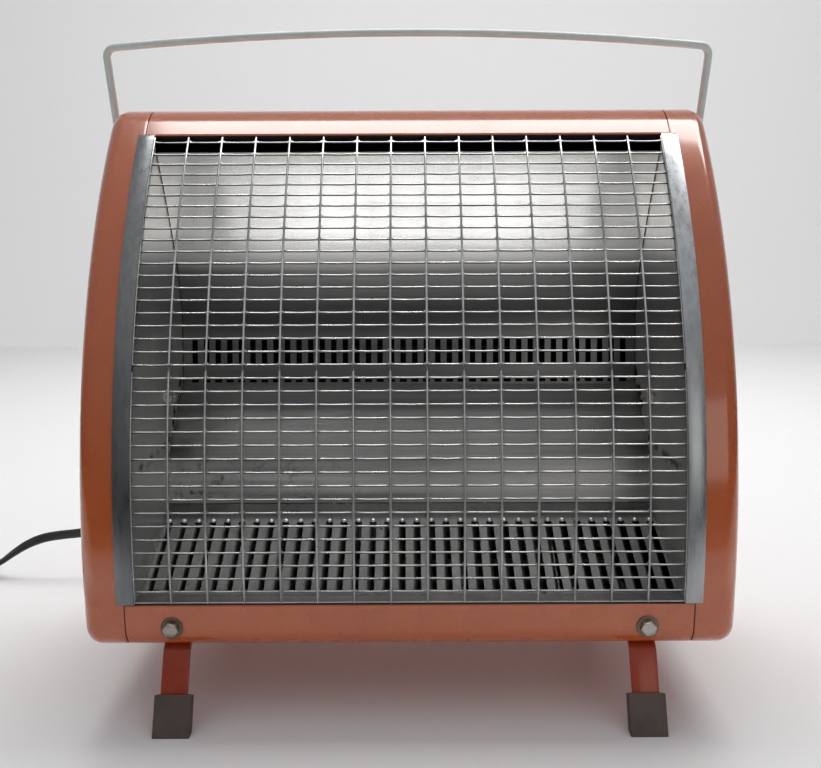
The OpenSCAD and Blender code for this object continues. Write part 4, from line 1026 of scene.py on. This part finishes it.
def makeHandle():
    h = handle
    legX = case["half"] + h["gap"] + h["rod"]
    footX = legX - h["foot"]
    gripHalf = legX - h["corner"]
    gripR = (gripHalf ** 2 + h["bow"] ** 2) / (2 * h["bow"])
    gripC = h["reach"] - gripR
    cornerZ = gripC + sqrt((gripR - h["corner"]) ** 2 - gripHalf ** 2)
    gripAngle = degrees(asin(gripHalf / (gripR - h["corner"])))
    side = [(footX - h["pin"], 0.0), (footX, 0.0)] + arc((footX, h["foot"]), h["foot"], -80, 0, 8)
    side += [(legX, h["foot"] + (cornerZ - h["foot"]) * t) for t in (0.25, 0.5, 0.75)]
    side += arc((gripHalf, cornerZ), h["corner"], 0, 90 - gripAngle, 10)
    grip = [(gripR * sin(radians(a)), gripC + gripR * cos(radians(a)))
            for a in (gripAngle * (1 - i / 30) for i in range(1, 60))]
    flat = side + grip + [(-x, z) for x, z in reversed(side)]
    lean = radians(h["lean"])
    path = [(x, yOf(pivot["depth"]) - z * sin(lean), pivot["height"] + z * cos(lean)) for x, z in flat]
    # Rings are set by the handle's own plane, so they don't twist at the corners
    across = Vector((0, cos(lean), sin(lean)))
    rod = sweepObject("bail_handle", path, circle(h["rod"], h["sides"]), guide=across)
    keep(rod, handlePaint, ["handle"], 50, body="handle")


makeHandle()
print("handle made")

# Leg straps and soft foot tips
leg = {"x": 165.0, "width": 19.0, "thick": 3.0, "lean": 25.5, "out": 14.0, "lift": 2.5, "low": 54.4,
       "bend": 10}
tip = {"width": 26.0, "thick": 8.0, "length": 27.0, "edge": 2.1, "socket": 2.0, "wall": 2.2}


def makeTip(side, rear):
    lean = radians(leg["lean"])
    direction = (sin(lean), cos(lean))
    foot = tip["thick"] / 2 / cos(lean)
    top = (-leg["out"] + direction[0] * tip["length"], direction[1] * tip["length"])
    across = (cos(lean) * tip["thick"] / 2, sin(lean) * tip["thick"] / 2)
    profile = [(-leg["out"] - foot, 0.0), (-leg["out"] + foot, 0.0), (top[0] + across[0], top[1] - across[1]),
               (top[0] - across[0], top[1] + across[1])]
    if rear:
        profile = [(case["depth"] - d, z) for d, z in profile]
    work = bmesh.new()
    a, b = ([work.verts.new(Vector(at(side * leg["x"] + x, p)) * mm) for p in profile]
            for x in (-tip["width"] / 2, tip["width"] / 2))
    for k in range(4):
        work.faces.new((a[k], a[(k + 1) % 4], b[(k + 1) % 4], b[k]))
    work.faces.new(a)
    work.faces.new(list(reversed(b)))
    bmesh.ops.recalc_face_normals(work, faces=work.faces)
    topFace = max(work.faces, key=lambda face: face.calc_center_median().z)
    bmesh.ops.inset_region(work, faces=[topFace], thickness=tip["wall"] * mm)
    down = Vector((0, (1 if rear else -1) * direction[0], -direction[1])) * tip["socket"] * mm
    inner = bmesh.ops.extrude_face_region(work, geom=[topFace])
    bmesh.ops.delete(work, geom=[topFace], context="FACES_ONLY")
    for vert in [g for g in inner["geom"] if isinstance(g, bmesh.types.BMVert)]:
        vert.co += down
    bmesh.ops.recalc_face_normals(work, faces=work.faces)
    return objectFrom(work, "tip")


def makeLegs():
    slope = tan(radians(leg["lean"]))
    footEnd = (-leg["out"] + leg["lift"] * slope, leg["lift"])
    knee = (-leg["out"] + leg["low"] * slope, leg["low"])
    back = [(case["depth"] - d, z) for d, z in (knee, footEnd)]
    path = bent([footEnd, knee, *back], [leg["bend"]] * 2, 12)
    for side, name, node in ((-1, "left_strap", "left_leg_strap"), (1, "right_strap", "right_leg_strap")):
        edges = [side * leg["x"] + x for x in (-leg["width"] / 2, 0, leg["width"] / 2)]
        keep(sheetObject(name, path, edges, leg["thick"]), strapEnamel, [node], 35, 0.5)
    tips = [makeTip(side, rear) for side in (-1, 1) for rear in (False, True)]
    keep(joinMeshes("foot_boots", tips), footVinyl, ["foot_tips"], 40, tip["edge"], 4)


makeLegs()
print("legs made")

# The CAD nodes that stay as they are get the finish of the real piece
finishes = [
    (coralEnamel, ["back_panel"]), (porcelain, ["side_bushings"]), (sheathSteel, ["heating_rod"]),
    (platedSteel, ["back_screws", "rail_nuts", "motor_bolts", "thermostat_nut", "control_shaft",
                   "handle_clips", "leg_screws"]),
    (innerSteel, ["heater_stands", "fan_shroud", "motor_bracket", "motor_bearings", "motor_shaft"]),
    (coreSteel, ["motor_stack"]), (coilTape, ["motor_coil"]), (fanSheet, ["fan_blade"]),
    (darkMoulding, ["overheat_cutout", "thermostat", "control_knob", "cord_tie"]),
    (paleNylon, ["handle_bushes"]), (cordRubber, ["supply_leads"]), (bladeBrass, ["plug_blades"]),
]
for material, names in finishes:
    for name in names:
        for materialSlot in nodes[name].material_slots:
            materialSlot.material = material
print("finishes given to", sum(len(names) for _, names in finishes), "nodes")

# Stage: pale table and pale wall. The camera sees the table go on; light and reflections see it end
# before the heater, with a dim room beyond it. The tall reflector also shows a white card on the table.
stage = {"floor": (0.86, 0.86, 0.865), "wall": (0.42, 0.42, 0.425), "wallGlow": 0.37, "wallY": 1.93,
         "size": 6, "wallHeight": 5, "tableFront": -0.62, "tableSide": 1.5, "room": (0.06, 0.06, 0.06),
         "cardReach": (-0.5, -0.3, -0.13, -0.105), "cardRay": (0.26, 0.34),
         "cards": ((0.55, 0.75, 0.48), (0.06, 0.28, 0.85))}


def rayKind(kind):
    return addNode("LightPath").outputs[kind]


def plane(name, corners):
    mesh = bpy.data.meshes.new(name)
    mesh.from_pydata(corners, [], [(0, 1, 2, 3)])
    obj = bpy.data.objects.new(name, mesh)
    scene.collection.objects.link(obj)
    mesh.materials.append(newMaterial(name + "_surface"))


size, wallY, high = stage["size"], stage["wallY"], stage["wallHeight"]
plane("floor", [(-size, -size, 0), (size, -size, 0), (size, wallY, 0), (-size, wallY, 0)])
across = axisValue(0)
along = axisValue(1)
front, edge = stage["tableFront"], stage["tableSide"]
onTable = product(mapRange(along, front - 0.05, front),
                  window(across, -edge - 0.1, -edge, edge, edge + 0.1))
seen = mixColor(onTable, stage["room"], stage["floor"])
reach = product(window(along, *stage["cardReach"]), rayKind("Is Glossy Ray"),
                mapRange(rayKind("Ray Length"), *stage["cardRay"]))
aside = calc("ABSOLUTE", across, clamp=False)
glows = [mapRange(product(mapRange(aside, inner, outer, 1.0, 0.0), reach), 0, 1, 0, glow)
         for inner, outer, glow in stage["cards"]]
setSurface(mixColor(rayKind("Is Camera Ray"), seen, stage["floor"]), 0.45,
           more={"Specular IOR Level": 0.25, "Emission Color": (1, 1, 1),
                 "Emission Strength": calc("ADD", *glows, clamp=False)})

plane("wall", [(-size, wallY, 0), (size, wallY, 0), (size, wallY, high), (-size, wallY, high)])
shown = calc("ADD", rayKind("Is Camera Ray"), rayKind("Is Glossy Ray"))
setSurface(stage["wall"], 0.8, more={"Specular IOR Level": 0.2, "Emission Color": (1, 1, 1),
                                     "Emission Strength": mapRange(shown, 0, 1, 0, stage["wallGlow"])})

# Light: broad lamps overhead and behind, a pale patch in front, a room that is dim at eye level
room = {"levels": [(-1.0, 0.04), (-0.05, 0.05), (0.05, 0.15), (0.45, 0.4), (1.0, 0.66)],
        "tint": (0.95, 0.97, 1.0), "seen": (0.8, 0.8, 0.8)}
scene.world = openTree(bpy.data.worlds.new("room"))
upward = mapRange(axisValue(2, "Generated"), -1, 1, kind="LINEAR")
level = ramp(upward, [((height + 1) / 2, tone) for height, tone in room["levels"]])
level = times(level, room["tint"])
background = tree.nodes["Background"]
feed(background.inputs["Color"], mixColor(rayKind("Is Camera Ray"), level, room["seen"]))
background.inputs["Strength"].default_value = 1.0


def areaLight(name, location, target, size, power, tone=(1, 1, 1), diffuse=True, glossy=True):
    data = bpy.data.lights.new(name, "AREA")
    data.shape = "RECTANGLE"
    data.size, data.size_y = size
    data.energy = power
    data.color = tone
    lamp = bpy.data.objects.new(name, data)
    lamp.location = location
    lamp.rotation_euler = (Vector(target) - Vector(location)).to_track_quat("-Z", "Y").to_euler()
    lamp.visible_camera = False
    lamp.visible_diffuse = diffuse
    lamp.visible_glossy = glossy
    scene.collection.objects.link(lamp)


areaLight("overhead", (0.2, 0.65, 2.0), (0.2, 0.65, 0.0), (1.9, 0.92), 29, (1.0, 0.99, 0.97), glossy=False)
areaLight("back_top", (0, 1.3, 1.7), (0, 0, 0.2), (2.4, 0.8), 9, (1.0, 0.99, 0.98), glossy=False)
areaLight("front_patch", (0.95, -2.2, 0.6), (0, 0, 0.25), (1.2, 0.7), 2.8, (1.0, 0.97, 0.95))
areaLight("ceiling_card", (0.44, 0.13, 2.0), (0.44, 0.13, 0), (2.12, 0.7), 42, (1, 1, 0.99), diffuse=False)
print("stage and light set")

scene.view_settings.view_transform = "Standard"
print("scene ready")
